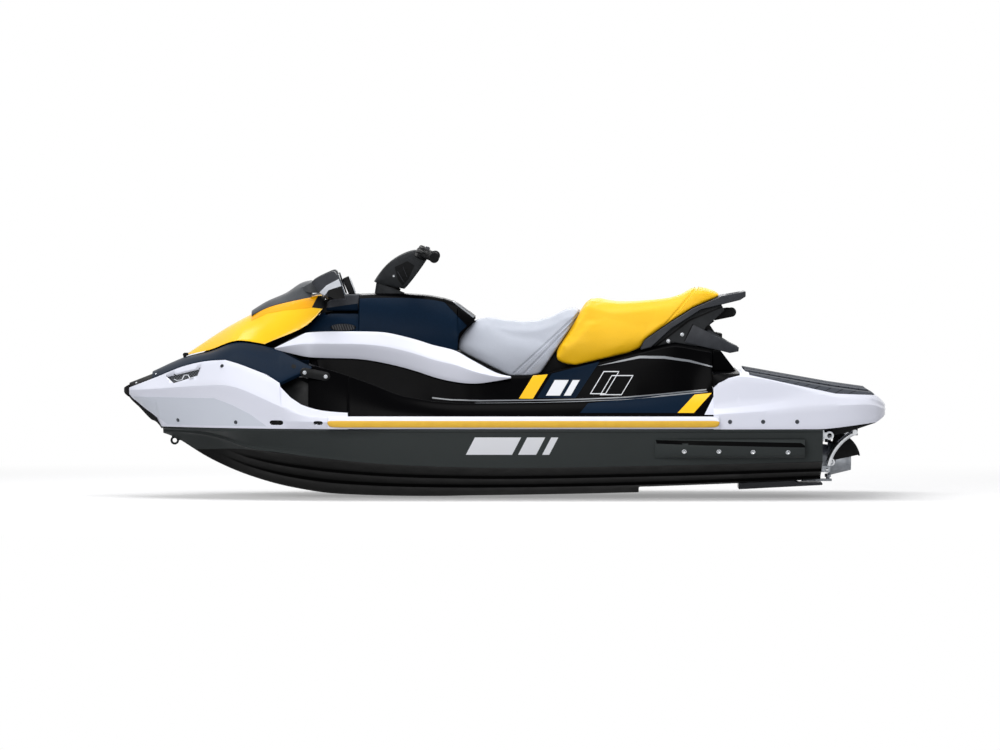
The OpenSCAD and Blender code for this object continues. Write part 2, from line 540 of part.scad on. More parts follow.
function rear_foot_z(x) =
    x < -565 ? lookup(x, trim_top_z) : lookup(x, seat_line) + lookup(x, rear_lift);
rear_foot = [[-880, 120], [-800, 150], [-684, 168], [-560, 180], [-400, 188], [-212, 186]];
rear_crown = [[-902, 112], [-816, 138], [-651, 150], [-483, 158], [-364, 152]];
module rear_seat() color("#f7c400") slab(
    fitted([for (x = rear_run) cushion(x, rear_top(x), rear_foot_z(x) + seat_gap,
        curve(rear_seat_z, rear_top(x)), curve(rear_foot, x), curve(rear_crown, rear_top(x)))]),
    fitted([for (x = rear_run)
        cushion_foot(x, rear_foot_z(x) + seat_gap, curve(rear_foot, x))]));

// Grab handle under and behind the rear seat
trim_run = [-1001, -977, -902, -816, -783, -692, -684, -608, -582, -566];
module grab_handle() color("#17181a") difference() {
    slab(fitted([for (x = trim_run) let (w = curve(trim_y, x), z = lookup(x, trim_top_z))
            section(x, [[w, z], [-w, z]])]),
        fitted([for (x = trim_run) let (w = curve(trim_y, x), z = lookup(x, trim_low_z))
            section(x, [[w, z], [-w, z]])]));
    translate([0, 0, fit_z(700)]) linear_extrude(300) hull() mirrored()
        translate([fit_x(-948), fit_y(68)]) circle(r = fit_x(26));
}
module seat_base() color("#232427") difference() {
    union() {
        side_profile([[-620, lookup(-620, seat_line)], [-620, lookup(-620, trim_low_z) - seat_gap],
            [-692, 697 - seat_gap], [-816, 776 - seat_gap],
            [-900, lookup(-900, trim_low_z) - seat_gap], [-912, 772],
            [-835, 700], [-800, lookup(-800, seat_line)], [-700, 640]], 140);
        translate([fit_x(-944), 0, fit_z(762)]) across(eye_thickness / 2) {
            circle(r = eye_hole + 11);
            translate([0, -12]) square([fit_x(60), 26]);
        }
    }
    translate([fit_x(-944), 0, fit_z(762)]) along_y(eye_hole, 60);
}
module tow_bracket() color("#3b3d42") side_profile([[-806, lookup(-806, seat_line)],
    [-838, 692], [-852, 690], [-968, 618], [-962, 600], [-910, 606], [-898, 604], [-860, 612]],
    110);
module pedestal_tail() color("#17181a") side_profile([[-860, 520], [-860, 612], [-898, 604],
    [-962, 520]], 166);

// Stern platform
function stern_half(x) =
    let (y = curve(stern_y, x), low = lookup(x, stern_low_z), edge = curve(stern_edge_z, x))
    let (top = lookup(x, stern_top_z))
    [[y, low], [y + 3, curve(stern_band_low, x)], [y - 15, curve(stern_band_high, x)],
        [y - 22, edge], [y - 56, mix(edge, top, 0.85)], [y - 100, top]];
stern_run = concat(run(-1572, -1560, 9), run(-1560, -1531, 16), run(-1531, -1507, 30),
    run(-1507, -1355, 52), run(-1355, -1309, 50), run(-1309, -990, 65), run(-990, -968, 30),
    run(-968, -902, 40), [-902, -880, -860]);
module rear_deck() color("#e6e8f4")
    moulding(fitted([for (x = stern_run) section(x, both_sides(stern_half(x)))]), true);
function mat_seat(x) = lookup(x, stern_top_z) + running_gap;
module rear_mats() color("#26272a") mirrored() {
    run = [-1500, -1355, -994];
    wide = [[-1500, 300], [-994, 352]];
    slab(fitted([for (x = run) let (z = mat_seat(x) + mat_thickness)
            section(x, [[lookup(x, wide), z], [36, z]])]),
        fitted([for (x = run) let (z = mat_seat(x)) section(x, [[lookup(x, wide), z], [36, z]])]));
}
module footwell_mats() color("#26272a") mirrored()
    translate([0, 0, fit_z(floor_height)]) linear_extrude(mat_thickness)
        polygon([for (p = [[-735, 278], [640, 278], [640, 335], [560, 372], [300, 410],
            [-300, 418], [-735, 396]]) [fit_x(p[0]), fit_y(p[1])]]);

// Rub rails: a pale base with a coloured insert
rail_run = stations([-884, -880, -872, -860, -700, -400, 0, 300, 500, 638, 697, 709, 717, 721], 110);
rail_round = [[-884, 0.35], [-880, 0.66], [-872, 0.9], [-860, 1], [697, 1], [709, 0.9], [717, 0.66],
    [721, 0.35]];
module rail(y_in, y_out, low, high, chamfer, rounded) {
    middle = (low + high) / 2;
    function at(x, u) = mix(middle, mix(low, high, u), rounded ? lookup(x, rail_round) : 1);
    slab(fitted([for (x = rail_run) let (y = curve(rail_y, x))
            section(x, [[y + y_out - chamfer, at(x, 0)], [y + y_out, at(x, 0.3)],
                [y + y_out, at(x, 0.7)], [y + y_out - chamfer, at(x, 1)]])]),
        fitted([for (x = rail_run) let (y = curve(rail_y, x))
            section(x, [for (u = [0, 0.3, 0.7, 1]) [y + y_in, at(x, u)]])]));
}
module rub_rails() color("#e6e8f4") mirrored() rail(seat_gap, 8, 294, 345, 2, false);
module rail_inserts() color("#f0c020") mirrored()
    rail(8 + seat_gap, rail_width, 300, 341, 7, true);

// Sponsons on the hull sides
sponson_run = concat(run(-1235, -620, 103), [-620]);
sponson_fade = [[-1235, 1], [-760, 1], [-620, 0.25]];
function sponson_row(x, z, out) = underside([x, hull_side_y(x, z) + out, z]);
function sponson_grow(x) = sponson_width * curve(sponson_fade, x);
module sponsons() color("#1c1d20") mirrored() slab(
    [for (x = sponson_run) let (w = sponson_grow(x)) [sponson_row(x, 172, 0.5 * w),
        sponson_row(x, 184, w), sponson_row(x, 222, w), sponson_row(x, 250, 0.3 * w)]],
    [for (x = sponson_run) [for (z = [172, 184, 222, 250]) sponson_row(x, z, seat_gap)]]);

// Under the stern
module ride_plate() color("#8a8d92") across(tunnel_width / 2)
    polygon([[fit_x(-1319), keel_at(-1309)], [fit_x(-972), keel_at(-972)],
        [fit_x(-972), keel_at(-972) + 41], [fit_x(-1190), 75], [fit_x(-1225), 58],
        [fit_x(-1319), 58]]);
module intake_grate() color("#8a8d92") {
    half = tunnel_width / 2;
    translate([fit_x(-960), -half, 74]) cube([fit_x(24), 2 * half, 12]);
    translate([fit_x(-720), -half, 74]) cube([fit_x(24), 2 * half, 12]);
    for (y = [-0.75, -0.25, 0.25, 0.75] * (half - 20))
        translate([fit_x(-936) - 6, y - 5, 72]) cube([fit_x(216) + 12, 10, 16]);
}

// Jet pump: flange, housing, lugs for the nozzle and for the bucket
module pump_housing() color("#9a9da1") {
    x0 = fit_x(pivot_x);
    front = fit_x(-1070);
    difference() {
        union() {
            about_pump([[0, x0], [nozzle_bore + 8, x0], [nozzle_bore + 11, x0 + 38],
                [pump_radius, x0 + 100], [pump_radius, front], [0, front]]);
            translate([front - 20, -tunnel_width / 2, 82])
                cube([20, tunnel_width, tunnel_roof - 82]);
            for (z = [pump_axis - 96, pump_axis + 86])
                translate([x0 - 16, -16, z]) cube([126, 32, 10]);
            for (z = [pump_axis - 90, pump_axis + 60])
                translate([x0 + 70, -16, z]) cube([40, 32, 30]);
            for (y = [-91, 83]) translate([fit_x(bucket_pivot[0]) - 16, y, bucket_pivot[1] - 16])
                cube([140, 8, 32]);
            for (y = [-91, 60]) translate([x0 + 70, y, bucket_pivot[1] - 16])
                cube([fit_x(bucket_pivot[0]) + 124 - x0 - 70, 31, 32]);
        }
        about_pump([[0, x0 - 1], [nozzle_bore, x0 - 1], [nozzle_bore, x0 + 20],
            [pump_bore, x0 + 110], [pump_bore, front + 1], [0, front + 1]]);
        translate([x0, 0, 0]) cylinder(r = 8 + running_gap, h = 400);
        translate([fit_x(bucket_pivot[0]), 0, bucket_pivot[1]])
            along_y(8 + running_gap, 400);
    }
}
module steering_nozzle() color("#a4a7ab") {
    x0 = fit_x(pivot_x);
    difference() {
        union() {
            about_pump([[0, x0 - 95], [nozzle_bore + 2, x0 - 95], [nozzle_bore + 24, x0 - 4],
                [nozzle_bore + 24, x0], [0, x0]]);
            for (z = [pump_axis - 79, pump_axis + 60])
                translate([x0, 0, z]) cylinder(r = 13, h = 19);
            for (z = [pump_axis - 94, pump_axis + 60])
                translate([x0, 0, z]) cylinder(r = 8, h = 34);
        }
        about_pump([[0, x0 - 96], [nozzle_bore - 4, x0 - 96], [nozzle_bore + 18, x0 - 4],
            [nozzle_bore + 18, x0 + 20], [0, x0 + 20]]);
    }
}
module reverse_bucket() color("#1b1c1f")
    translate([fit_x(bucket_pivot[0]), 0, bucket_pivot[1]]) {
        rotate([90, 0, 0]) rotate([0, 0, 95]) rotate_extrude(angle = 75)
            translate([bucket_radius, 4 - bucket_half])
                square([bucket_wall, 2 * bucket_half - 8]);
        mirrored() {
            translate([0, bucket_half - 4, 0]) across(4) {
                circle(r = 17);
                polygon([[0, 0], for (a = [98:14:168])
                    (bucket_radius + bucket_wall / 2) * [cos(a), sin(a)]]);
            }
            translate([0, bucket_half - 11, 0]) along_y(8, 20);
        }
    }
module impeller() color("#b5b8bc") {
    tip = pump_bore - impeller_gap;
    translate([fit_x(-1195), 0, pump_axis]) rotate([0, 90, 0]) {
        cylinder(r = hub_radius, h = 90);
        translate([0, 0, 8]) linear_extrude(70, twist = 70, slices = 6, $fn = 4)
            for (i = [0:blade_count - 1]) rotate(360 / blade_count * i)
                translate([hub_radius - 2, -3]) square([tip - hub_radius + 2, 6]);
    }
}
module drive_shaft() color("#c3c6ca")
    translate([fit_x(-1195) + 90, 0, pump_axis]) rotate([0, 90, 0])
        cylinder(r = shaft_radius, h = fit_x(-350) - fit_x(-1195) - 90);
module engine() color("#4a4d52") engine_space(engine_span[1], 0);

// Eyes on the transom
module stern_eyes() color("#c3c6ca") mirrored()
    translate([fit_x(-1309), fit_y(390), bottom_z(262)]) difference() {
        union() {
            translate([-8, -24, -24]) cube([8, 48, 48]);
            across(eye_thickness / 2) {
                translate([-30, 0]) circle(r = eye_hole + 9);
                translate([-30, -14]) square([26, 28]);
            }
        }
        translate([-30, 0, 0]) along_y(eye_hole, 60);
    }

// Boarding step, folded up under the platform
function step_end() =
    let (a = step_reach / step_bend * 180 / PI)
    step_bend * [-(sin(step_start) - sin(step_start - a)), cos(step_start - a) - cos(step_start)];
module at_step(y = 0) translate([fit_x(step_pivot[0]), y, step_pivot[1]]) children();
module step_brackets() color("#8a8d92") mirrored() at_step(step_half) difference() {
    union() {
        translate([fit_x(-1309) - fit_x(step_pivot[0]) - 6, -24, -8]) cube([6, 48, 52]);
        for (y = [-22, 15]) translate([-13, y, -10])
            cube([fit_x(-1309) - fit_x(step_pivot[0]) + 12, 7, 26]);
    }
    along_y(6 + running_gap, 100);
}
module boarding_step() color("#c3c6ca") {
    bend = step_reach / step_bend * 180 / PI;
    mirrored() at_step(step_half) {
        along_y(6, 46);
        along_y(step_tube + 2, 20);
        rotate([90, 0, 0]) rotate([0, 0, 90 - step_start])
            translate([-step_bend, 0]) rotate_extrude(angle = bend)
                translate([step_bend, 0]) circle(r = step_tube);
    }
    at_step() translate([step_end()[0], 0, step_end()[1]])
        along_y(step_tube + 1, 2 * step_half + 2 * step_tube + 4);
}
module step_tread() color("#26272a") at_step()
    translate([step_end()[0], 0, step_end()[1]]) difference() {
        translate([-15, -130, -15]) cube([30, 260, 30]);
        along_y(step_tube + 1 + running_gap, 300);
    }

// Steering
module on_steering() translate([fit_x(steer_base[0]), 0, fit_z(steer_base[1])])
    rotate([0, -steer_lean, 0]) children();
module steering_collar() color("#1b1c1f") difference() {
    on_steering() translate([0, 0, -60])
        cylinder(r1 = collar_half[0], r2 = collar_half[1], h = collar_top + 60);
    on_steering() translate([0, 0, -80]) cylinder(r = stem_radius + running_gap, h = 200);
    translate([fit_x(steer_base[0]) - 200, -200, fit_z(steer_base[1]) - 200])
        cube([400, 400, 200]);
}
module handlebar() color("#2a2b2e") on_steering() {
    translate([0, 0, 22]) cylinder(r = stem_radius, h = pad_seat - 22);
    mirrored() {
        translate([-20, 95 + 25, 210]) along_y(bar_radius, 50);
        translate([-20, 140, 210]) rotate([-86, 0, 16]) cylinder(r = bar_radius - 0.5, h = 86);
    }
}
module handlebar_pad() color("#2a2b2e") on_steering() difference() {
    hull() {
        translate([66, -50, 10]) cube([12, 100, 22]);
        translate([-52, -50, 50]) cube([12, 100, 10]);
        translate([-50, -62, 108]) cube([120, 124, 8]);
        translate([-64, -95, 180]) cube([82, 190, 22]);
        translate([-64, -95, 200]) cube([42, 190, 22]);
    }
    translate([0, 0, -40]) cylinder(r = pad_bore, h = pad_seat + 40);
}
module grips() color("#1b1c1f") on_steering() mirrored()
    translate([-20, 143, 210]) rotate([-86, 0, 16]) translate([0, 0, 90])
        cylinder(r = grip_radius, h = 150);

afloat() hull_shell();
afloat() deck();
afloat() storage_bin();
afloat() rear_deck();
afloat() pedestal_tail();
afloat() rear_mats();
afloat() footwell_mats();
afloat() rub_rails();
afloat() rail_inserts();
afloat() nose_bumper();
afloat() bow_fairing_left();
afloat() bow_fairing_right();
afloat() shoulder_left();
afloat() shoulder_right();
afloat() console();
afloat() dash();
afloat() display();
afloat() side_panel_left();
afloat() side_panel_right();
afloat() front_seat();
afloat() rear_seat();
afloat() grab_handle();
afloat() seat_base();
afloat() tow_bracket();
afloat() sponsons();
afloat() ride_plate();
afloat() intake_grate();
afloat() pump_housing();
afloat() step_brackets();
afloat() stern_eyes();
afloat() engine();
afloat() steering_collar();
afloat() hinge_bracket();
afloat() hood();
afloat() visor();
afloat() mirror_housings();
afloat() mirror_glasses();
afloat() handlebar();
afloat() handlebar_pad();
afloat() grips();
afloat() steering_nozzle();
afloat() reverse_bucket();
afloat() impeller();
afloat() drive_shaft();
afloat() boarding_step();
afloat() step_tread();
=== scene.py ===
import json
import math

import bmesh
import bpy
from mathutils import Matrix, Vector


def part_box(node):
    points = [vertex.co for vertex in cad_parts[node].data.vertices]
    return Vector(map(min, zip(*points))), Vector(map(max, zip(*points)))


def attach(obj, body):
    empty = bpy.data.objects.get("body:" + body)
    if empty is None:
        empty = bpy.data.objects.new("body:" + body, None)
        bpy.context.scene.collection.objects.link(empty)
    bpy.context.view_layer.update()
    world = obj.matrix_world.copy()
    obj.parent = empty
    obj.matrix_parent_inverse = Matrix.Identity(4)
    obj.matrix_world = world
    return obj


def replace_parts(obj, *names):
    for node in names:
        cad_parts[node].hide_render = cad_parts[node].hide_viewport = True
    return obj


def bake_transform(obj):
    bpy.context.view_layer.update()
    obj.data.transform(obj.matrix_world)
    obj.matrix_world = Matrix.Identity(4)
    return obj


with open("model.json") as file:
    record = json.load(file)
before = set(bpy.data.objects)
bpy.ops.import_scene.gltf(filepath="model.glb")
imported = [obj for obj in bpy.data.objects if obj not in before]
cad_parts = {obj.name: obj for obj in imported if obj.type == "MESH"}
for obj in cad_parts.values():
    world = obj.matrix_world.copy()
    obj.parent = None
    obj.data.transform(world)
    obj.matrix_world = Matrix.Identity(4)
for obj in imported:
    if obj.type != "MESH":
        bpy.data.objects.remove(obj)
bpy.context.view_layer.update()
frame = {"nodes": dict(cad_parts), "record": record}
scene = bpy.context.scene
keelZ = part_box("hull_shell")[0].z
print("frame loaded:", len(frame["nodes"]), "nodes")

# Where a pixel of the side view lies on the centre plane
sideView = {"metresPerPixel": 0.004111, "midColumn": 503.5, "keelRow": 499.0}


def spot(column, row):
    scale = sideView["metresPerPixel"]
    return Vector(((sideView["midColumn"] - column) * scale, 0.0,
                   (sideView["keelRow"] - row) * scale + keelZ))


# Camera: a long lens off the port side, almost level
cameraSet = {"distance": 45.0, "lift": 1.4, "sensor": 36.0, "width": 1000, "plane": 0.35}
aim = spot(500, 375) + Vector((0, cameraSet["plane"], 0))
lift = math.radians(cameraSet["lift"])
lens = bpy.data.cameras.new("portCamera")
lens.sensor_width = cameraSet["sensor"]
lens.lens = (cameraSet["sensor"] * cameraSet["distance"]
             / (cameraSet["width"] * sideView["metresPerPixel"]))
lens.clip_end = 200.0
camera = bpy.data.objects.new("portCamera", lens)
scene.collection.objects.link(camera)
camera.location = aim + cameraSet["distance"] * Vector((0, math.cos(lift), math.sin(lift)))
camera.rotation_euler = (math.pi / 2 - lift, 0, math.pi)
scene.camera = camera
scene.view_settings.view_transform = "Standard"


# Materials
def colour(code):  # sRGB hex to linear
    parts = [int(code[i:i + 2], 16) / 255 for i in (1, 3, 5)]
    return [p / 12.92 if p <= 0.04045 else ((p + 0.055) / 1.055) ** 2.4 for p in parts] + [1.0]


def addNode(tree, kind, values):  # lower case keys are settings, the rest are sockets
    node = tree.nodes.new("ShaderNode" + kind)
    for key, value in values.items():
        if isinstance(key, str) and key[0].islower():
            setattr(node, key, value)
        elif isinstance(value, bpy.types.NodeSocket):
            tree.links.new(value, node.inputs[key])
        else:
            node.inputs[key].default_value = value
    return node


def startMaterial(name, shaderValues):
    material = bpy.data.materials.new(name)
    material.use_nodes = True
    tree = material.node_tree
    tree.nodes.clear()
    place = addNode(tree, "TexCoord", {}).outputs["Object"]
    shader = addNode(tree, "BsdfPrincipled", shaderValues)
    addNode(tree, "OutputMaterial", {"Surface": shader.outputs["BSDF"]})
    return material, tree, shader, place


# Gelcoat and sprayed paint: glossy, with the faint orange peel of a sprayed or moulded skin
def glossSkin(name, base, shade, roughness, specular, peelMm=3.0, peel=0.03, flake=None,
              below=None):
    material, tree, shader, place = startMaterial(name, {
        "Roughness": roughness, "IOR": 1.5, "Specular IOR Level": specular})
    drift = addNode(tree, "TexNoise", {"Vector": place, "Scale": 1000 / 260, "Detail": 3.0})
    tone = addNode(tree, "Mix", {"data_type": "RGBA", 0: drift.outputs["Fac"],
                                 6: colour(base), 7: colour(shade)})
    tint = tone.outputs[2]
    if flake:  # metal flake in the paint, drawn at 1.4 mm so that it shows
        grit = addNode(tree, "TexVoronoi", {"Vector": place, "Scale": 1000 / 1.4})
        spark = addNode(tree, "MapRange", {"Value": grit.outputs["Color"],
                                           "From Min": 0.72, "From Max": 1.0,
                                           "To Min": 0.0, "To Max": 0.5})
        tint = addNode(tree, "Mix", {"data_type": "RGBA", 0: spark.outputs["Result"],
                                     6: tint, 7: colour(flake)}).outputs[2]
    if below:  # a second colour under a paint line of the side view
        tall = 0.3
        ends = [spot(*p) for p in below["line"]]
        axes = addNode(tree, "SeparateXYZ", {"Vector": place})
        along = addNode(tree, "MapRange", {"Value": axes.outputs["X"], "From Min": ends[0].x,
                                           "From Max": ends[-1].x})
        height = addNode(tree, "MapRange", {"Value": axes.outputs["Z"], "From Min": keelZ,
                                            "From Max": keelZ + tall})
        edge = addNode(tree, "FloatCurve", {"Value": along.outputs["Result"]})
        line = edge.mapping.curves[0].points
        for i, end in enumerate(ends):
            u, v = (end.x - ends[0].x) / (ends[-1].x - ends[0].x), (end.z - keelZ) / tall
            point = line[0] if i == 0 else line[-1] if i == len(ends) - 1 else line.new(u, v)
            point.location = (u, v)
        edge.mapping.update()
        under = addNode(tree, "Math", {"operation": "LESS_THAN", 0: height.outputs["Result"],
                                       1: edge.outputs["Value"]})
        tint = addNode(tree, "Mix", {"data_type": "RGBA", 0: under.outputs["Value"], 6: tint,
                                     7: colour(below["colour"])}).outputs[2]
    tree.links.new(tint, shader.inputs["Base Color"])
    handling = addNode(tree, "TexNoise", {"Vector": place, "Scale": 1000 / 70, "Detail": 5.0})
    gloss = addNode(tree, "MapRange", {"Value": handling.outputs["Fac"], "From Min": 0.3,
                                       "From Max": 0.75, "To Min": roughness * 0.93,
                                       "To Max": roughness * 1.1})
    tree.links.new(gloss.outputs["Result"], shader.inputs["Roughness"])
    skin = addNode(tree, "TexNoise", {"Vector": place, "Scale": 1000 / peelMm, "Detail": 2.0})
    bump = addNode(tree, "Bump", {"Height": skin.outputs["Fac"], "Strength": peel,
                                  "Distance": 0.0004})
    tree.links.new(bump.outputs["Normal"], shader.inputs["Normal"])
    return material


# Moulded plastic: a fine spark-eroded grain, a little shinier where hands have rubbed it
def mouldedPlastic(name, base, rubbed, roughness, grainMm=1.1, grain=0.25, specular=0.4):
    material, tree, shader, place = startMaterial(name, {
        "Roughness": roughness, "IOR": 1.49, "Specular IOR Level": specular})
    wear = addNode(tree, "TexNoise", {"Vector": place, "Scale": 1000 / 45, "Detail": 6.0,
                                      "Roughness": 0.6})
    worn = addNode(tree, "MapRange", {"Value": wear.outputs["Fac"], "From Min": 0.42,
                                      "From Max": 0.72})
    tone = addNode(tree, "Mix", {"data_type": "RGBA", 0: worn.outputs["Result"],
                                 6: colour(base), 7: colour(rubbed)})
    tree.links.new(tone.outputs[2], shader.inputs["Base Color"])
    gloss = addNode(tree, "MapRange", {"Value": wear.outputs["Fac"], "From Min": 0.3,
                                       "From Max": 0.75, "To Min": roughness * 1.1,
                                       "To Max": roughness * 0.8})
    tree.links.new(gloss.outputs["Result"], shader.inputs["Roughness"])
    pits = addNode(tree, "TexVoronoi", {"Vector": place, "Scale": 1000 / grainMm,
                                        "feature": "SMOOTH_F1"})
    bump = addNode(tree, "Bump", {"Height": pits.outputs["Distance"], "Strength": grain,
                                  "Distance": 0.0003})
    tree.links.new(bump.outputs["Normal"], shader.inputs["Normal"])
    return material


# Marine vinyl: pressed leather grain of about 2 mm cells, faint sheen, darker along the cell edges of
# the grain
def marineVinyl(name, base, shade, grainMm=2.2):
    material, tree, shader, place = startMaterial(name, {
        "Roughness": 0.5, "IOR": 1.47, "Specular IOR Level": 0.35, "Sheen Weight": 0.06,
        "Sheen Roughness": 0.4})
    bend = addNode(tree, "TexNoise", {"Vector": place, "Scale": 1000 / 9, "Detail": 2.0})
    shifted = addNode(tree, "MixRGB", {"blend_type": "LINEAR_LIGHT", "Fac": 0.0012,
                                       "Color1": place, "Color2": bend.outputs["Color"]})
    cells = addNode(tree, "TexVoronoi", {"Vector": shifted.outputs["Color"],
                                         "feature": "DISTANCE_TO_EDGE",
                                         "Scale": 1000 / grainMm})
    ridge = addNode(tree, "MapRange", {"Value": cells.outputs["Distance"], "From Max": 0.22})
    stain = addNode(tree, "TexNoise", {"Vector": place, "Scale": 1000 / 180, "Detail": 4.0})
    tone = addNode(tree, "Mix", {"data_type": "RGBA", 0: stain.outputs["Fac"],
                                 6: colour(base), 7: colour(shade)})
    lines = addNode(tree, "MapRange", {"Value": ridge.outputs["Result"], "To Min": 0.9,
                                       "To Max": 1.0})
    grained = addNode(tree, "Mix", {"data_type": "RGBA", "blend_type": "MULTIPLY", 0: 1.0,
                                    6: tone.outputs[2], 7: lines.outputs["Result"]})
    tree.links.new(grained.outputs[2], shader.inputs["Base Color"])
    gloss = addNode(tree, "MapRange", {"Value": stain.outputs["Fac"], "From Min": 0.3,
                                       "From Max": 0.7, "To Min": 0.42, "To Max": 0.56})
    tree.links.new(gloss.outputs["Result"], shader.inputs["Roughness"])
    bump = addNode(tree, "Bump", {"Height": ridge.outputs["Result"], "Strength": 0.35,
                                  "Distance": 0.0005})
    tree.links.new(bump.outputs["Normal"], shader.inputs["Normal"])
    return material


# Closed-cell foam sheet: dull, brushed skin, with grooves routed at an angle
def routedFoam(name, base, groove, pitchMm, cutMm, turn):
    material, tree, shader, place = startMaterial(name, {
        "Roughness": 0.85, "IOR": 1.45, "Specular IOR Level": 0.25})
    turned = addNode(tree, "Mapping", {"Vector": place, "Rotation": (0, 0, turn)})
    axes = addNode(tree, "SeparateXYZ", {"Vector": turned.outputs["Vector"]})
    phase = addNode(tree, "Math", {"operation": "PINGPONG", 0: axes.outputs["X"],
                                   1: pitchMm / 2000})
    cut = addNode(tree, "MapRange", {"Value": phase.outputs["Value"],
                                     "From Min": cutMm / 2400, "From Max": cutMm / 1700})
    brush = addNode(tree, "TexNoise", {"Vector": place, "Scale": 1000 / 1.6, "Detail": 3.0})
    tone = addNode(tree, "Mix", {"data_type": "RGBA", 0: cut.outputs["Result"],
                                 6: colour(groove), 7: colour(base)})
    dust = addNode(tree, "Mix", {"data_type": "RGBA", "blend_type": "MULTIPLY", 0: 0.35,
                                 6: tone.outputs[2], 7: brush.outputs["Color"]})
    tree.links.new(dust.outputs[2], shader.inputs["Base Color"])
    depth = addNode(tree, "Math", {"operation": "MULTIPLY_ADD", 0: brush.outputs["Fac"],
                                   1: 0.15, 2: cut.outputs["Result"]})
    bump = addNode(tree, "Bump", {"Height": depth.outputs["Value"], "Strength": 0.8,
                                  "Distance": 0.0012})
    tree.links.new(bump.outputs["Normal"], shader.inputs["Normal"])
    return material


# Cast metal keeps the sand's tooth, polished metal only fine brush lines along it
def metalFinish(name, base, dull, roughness, toothMm, tooth, stretch=(1, 1, 1)):
    material, tree, shader, place = startMaterial(name, {
        "Metallic": 1.0, "Roughness": roughness})
    drawn = addNode(tree, "Mapping", {"Vector": place, "Scale": stretch})
    grit = addNode(tree, "TexNoise", {"Vector": drawn.outputs["Vector"],
                                      "Scale": 1000 / toothMm, "Detail": 4.0})
    stain = addNode(tree, "TexNoise", {"Vector": place, "Scale": 1000 / 30, "Detail": 5.0})
    spread = addNode(tree, "MapRange", {"Value": stain.outputs["Fac"], "From Min": 0.35,
                                        "From Max": 0.7})
    tone = addNode(tree, "Mix", {"data_type": "RGBA", 0: spread.outputs["Result"],
                                 6: colour(base), 7: colour(dull)})
    tree.links.new(tone.outputs[2], shader.inputs["Base Color"])
    gloss = addNode(tree, "MapRange", {"Value": stain.outputs["Fac"], "From Min": 0.3,
                                       "From Max": 0.75, "To Min": roughness * 0.8,
                                       "To Max": roughness * 1.35})
    tree.links.new(gloss.outputs["Result"], shader.inputs["Roughness"])
    bump = addNode(tree, "Bump", {"Height": grit.outputs["Fac"], "Strength": tooth,
                                  "Distance": 0.0004})
    tree.links.new(bump.outputs["Normal"], shader.inputs["Normal"])
    return material


# Woven plastic mesh over an air vent: crossed strands, with the holes between them painted near-black
# as the shade of the hollow behind
def ventWeave(name, strand, hole, pitchMm, strandMm):
    material, tree, shader, place = startMaterial(name, {
        "Roughness": 0.5, "IOR": 1.49, "Specular IOR Level": 0.4})
    turned = addNode(tree, "Mapping", {"Vector": place, "Rotation": (0, math.radians(45), 0)})
    axes = addNode(tree, "SeparateXYZ", {"Vector": turned.outputs["Vector"]})
    first = addNode(tree, "Math", {"operation": "PINGPONG", 0: axes.outputs["X"],
                                   1: pitchMm / 2000})
    second = addNode(tree, "Math", {"operation": "PINGPONG", 0: axes.outputs["Z"],
                                    1: pitchMm / 2000})
    nearest = addNode(tree, "Math", {"operation": "MINIMUM", 0: first.outputs["Value"],
                                     1: second.outputs["Value"]})
    gaps = addNode(tree, "MapRange", {"Value": nearest.outputs["Value"],
                                      "From Min": strandMm / 2400, "From Max": strandMm / 1800})
    tone = addNode(tree, "Mix", {"data_type": "RGBA", 0: gaps.outputs["Result"],
                                 6: colour(strand), 7: colour(hole)})
    tree.links.new(tone.outputs[2], shader.inputs["Base Color"])
    bump = addNode(tree, "Bump", {"invert": True, "Height": gaps.outputs["Result"], "Strength": 1.0,
                                  "Distance": 0.001})
    tree.links.new(bump.outputs["Normal"], shader.inputs["Normal"])
    return material


whiteGelcoat = glossSkin("whiteGelcoatMoulded", "#e4e6f2", "#dfe2f0", 0.24, 0.45)
paintLine = [(150, 452), (200, 451.5), (240, 450), (316, 457), (380, 463), (420, 465), (513, 467),
             (640, 465), (830, 460.5)]
graphiteGelcoat = glossSkin("graphiteGelcoatMoulded", "#3a3e3e", "#3e4242", 0.42, 0.03)
hullGelcoat = glossSkin("graphiteGelcoatOverBlack", "#3a3e3e", "#3e4242", 0.42, 0.03,
                        below={"colour": "#030303", "line": paintLine})
bottomGelcoat = glossSkin("blackGelcoatBottom", "#030303", "#040405", 0.36, 0.03)
deckGelcoat = glossSkin("blackGelcoatPolished", "#020203", "#030304", 0.24, 0.02)
# lighter grey than the deck, for its rounded edges: painted highlight along the bevels
deckEdgeHighlight = glossSkin("blackGelcoatEdgePaintedHighlight", "#121315", "#17181a", 0.24, 0.08)
# pale grey for raised strips on the black deck and console: painted highlight, on top of their own
# gloss
paleHighlightPaint = glossSkin("paleGreyPaintedHighlight", "#70747a", "#7c8086", 0.2, 0.5)
navyPaint = glossSkin("navyPaintSprayed", "#0c1928", "#0f1f31", 0.34, 0.02, flake="#182e46")
yellowPaint = glossSkin("yellowPaintSprayed", "#ffc80a", "#fcc206", 0.22, 0.35)
# a greyer white for the fairing's lower facet: painted shade
shadedWhiteGelcoat = glossSkin("whiteGelcoatPaintedShade", "#d3d8e3", "#cdd3df", 0.24, 0.45)
platePaint = glossSkin("greyPaintSprayed", "#4b4e54", "#53565c", 0.36, 0.25)
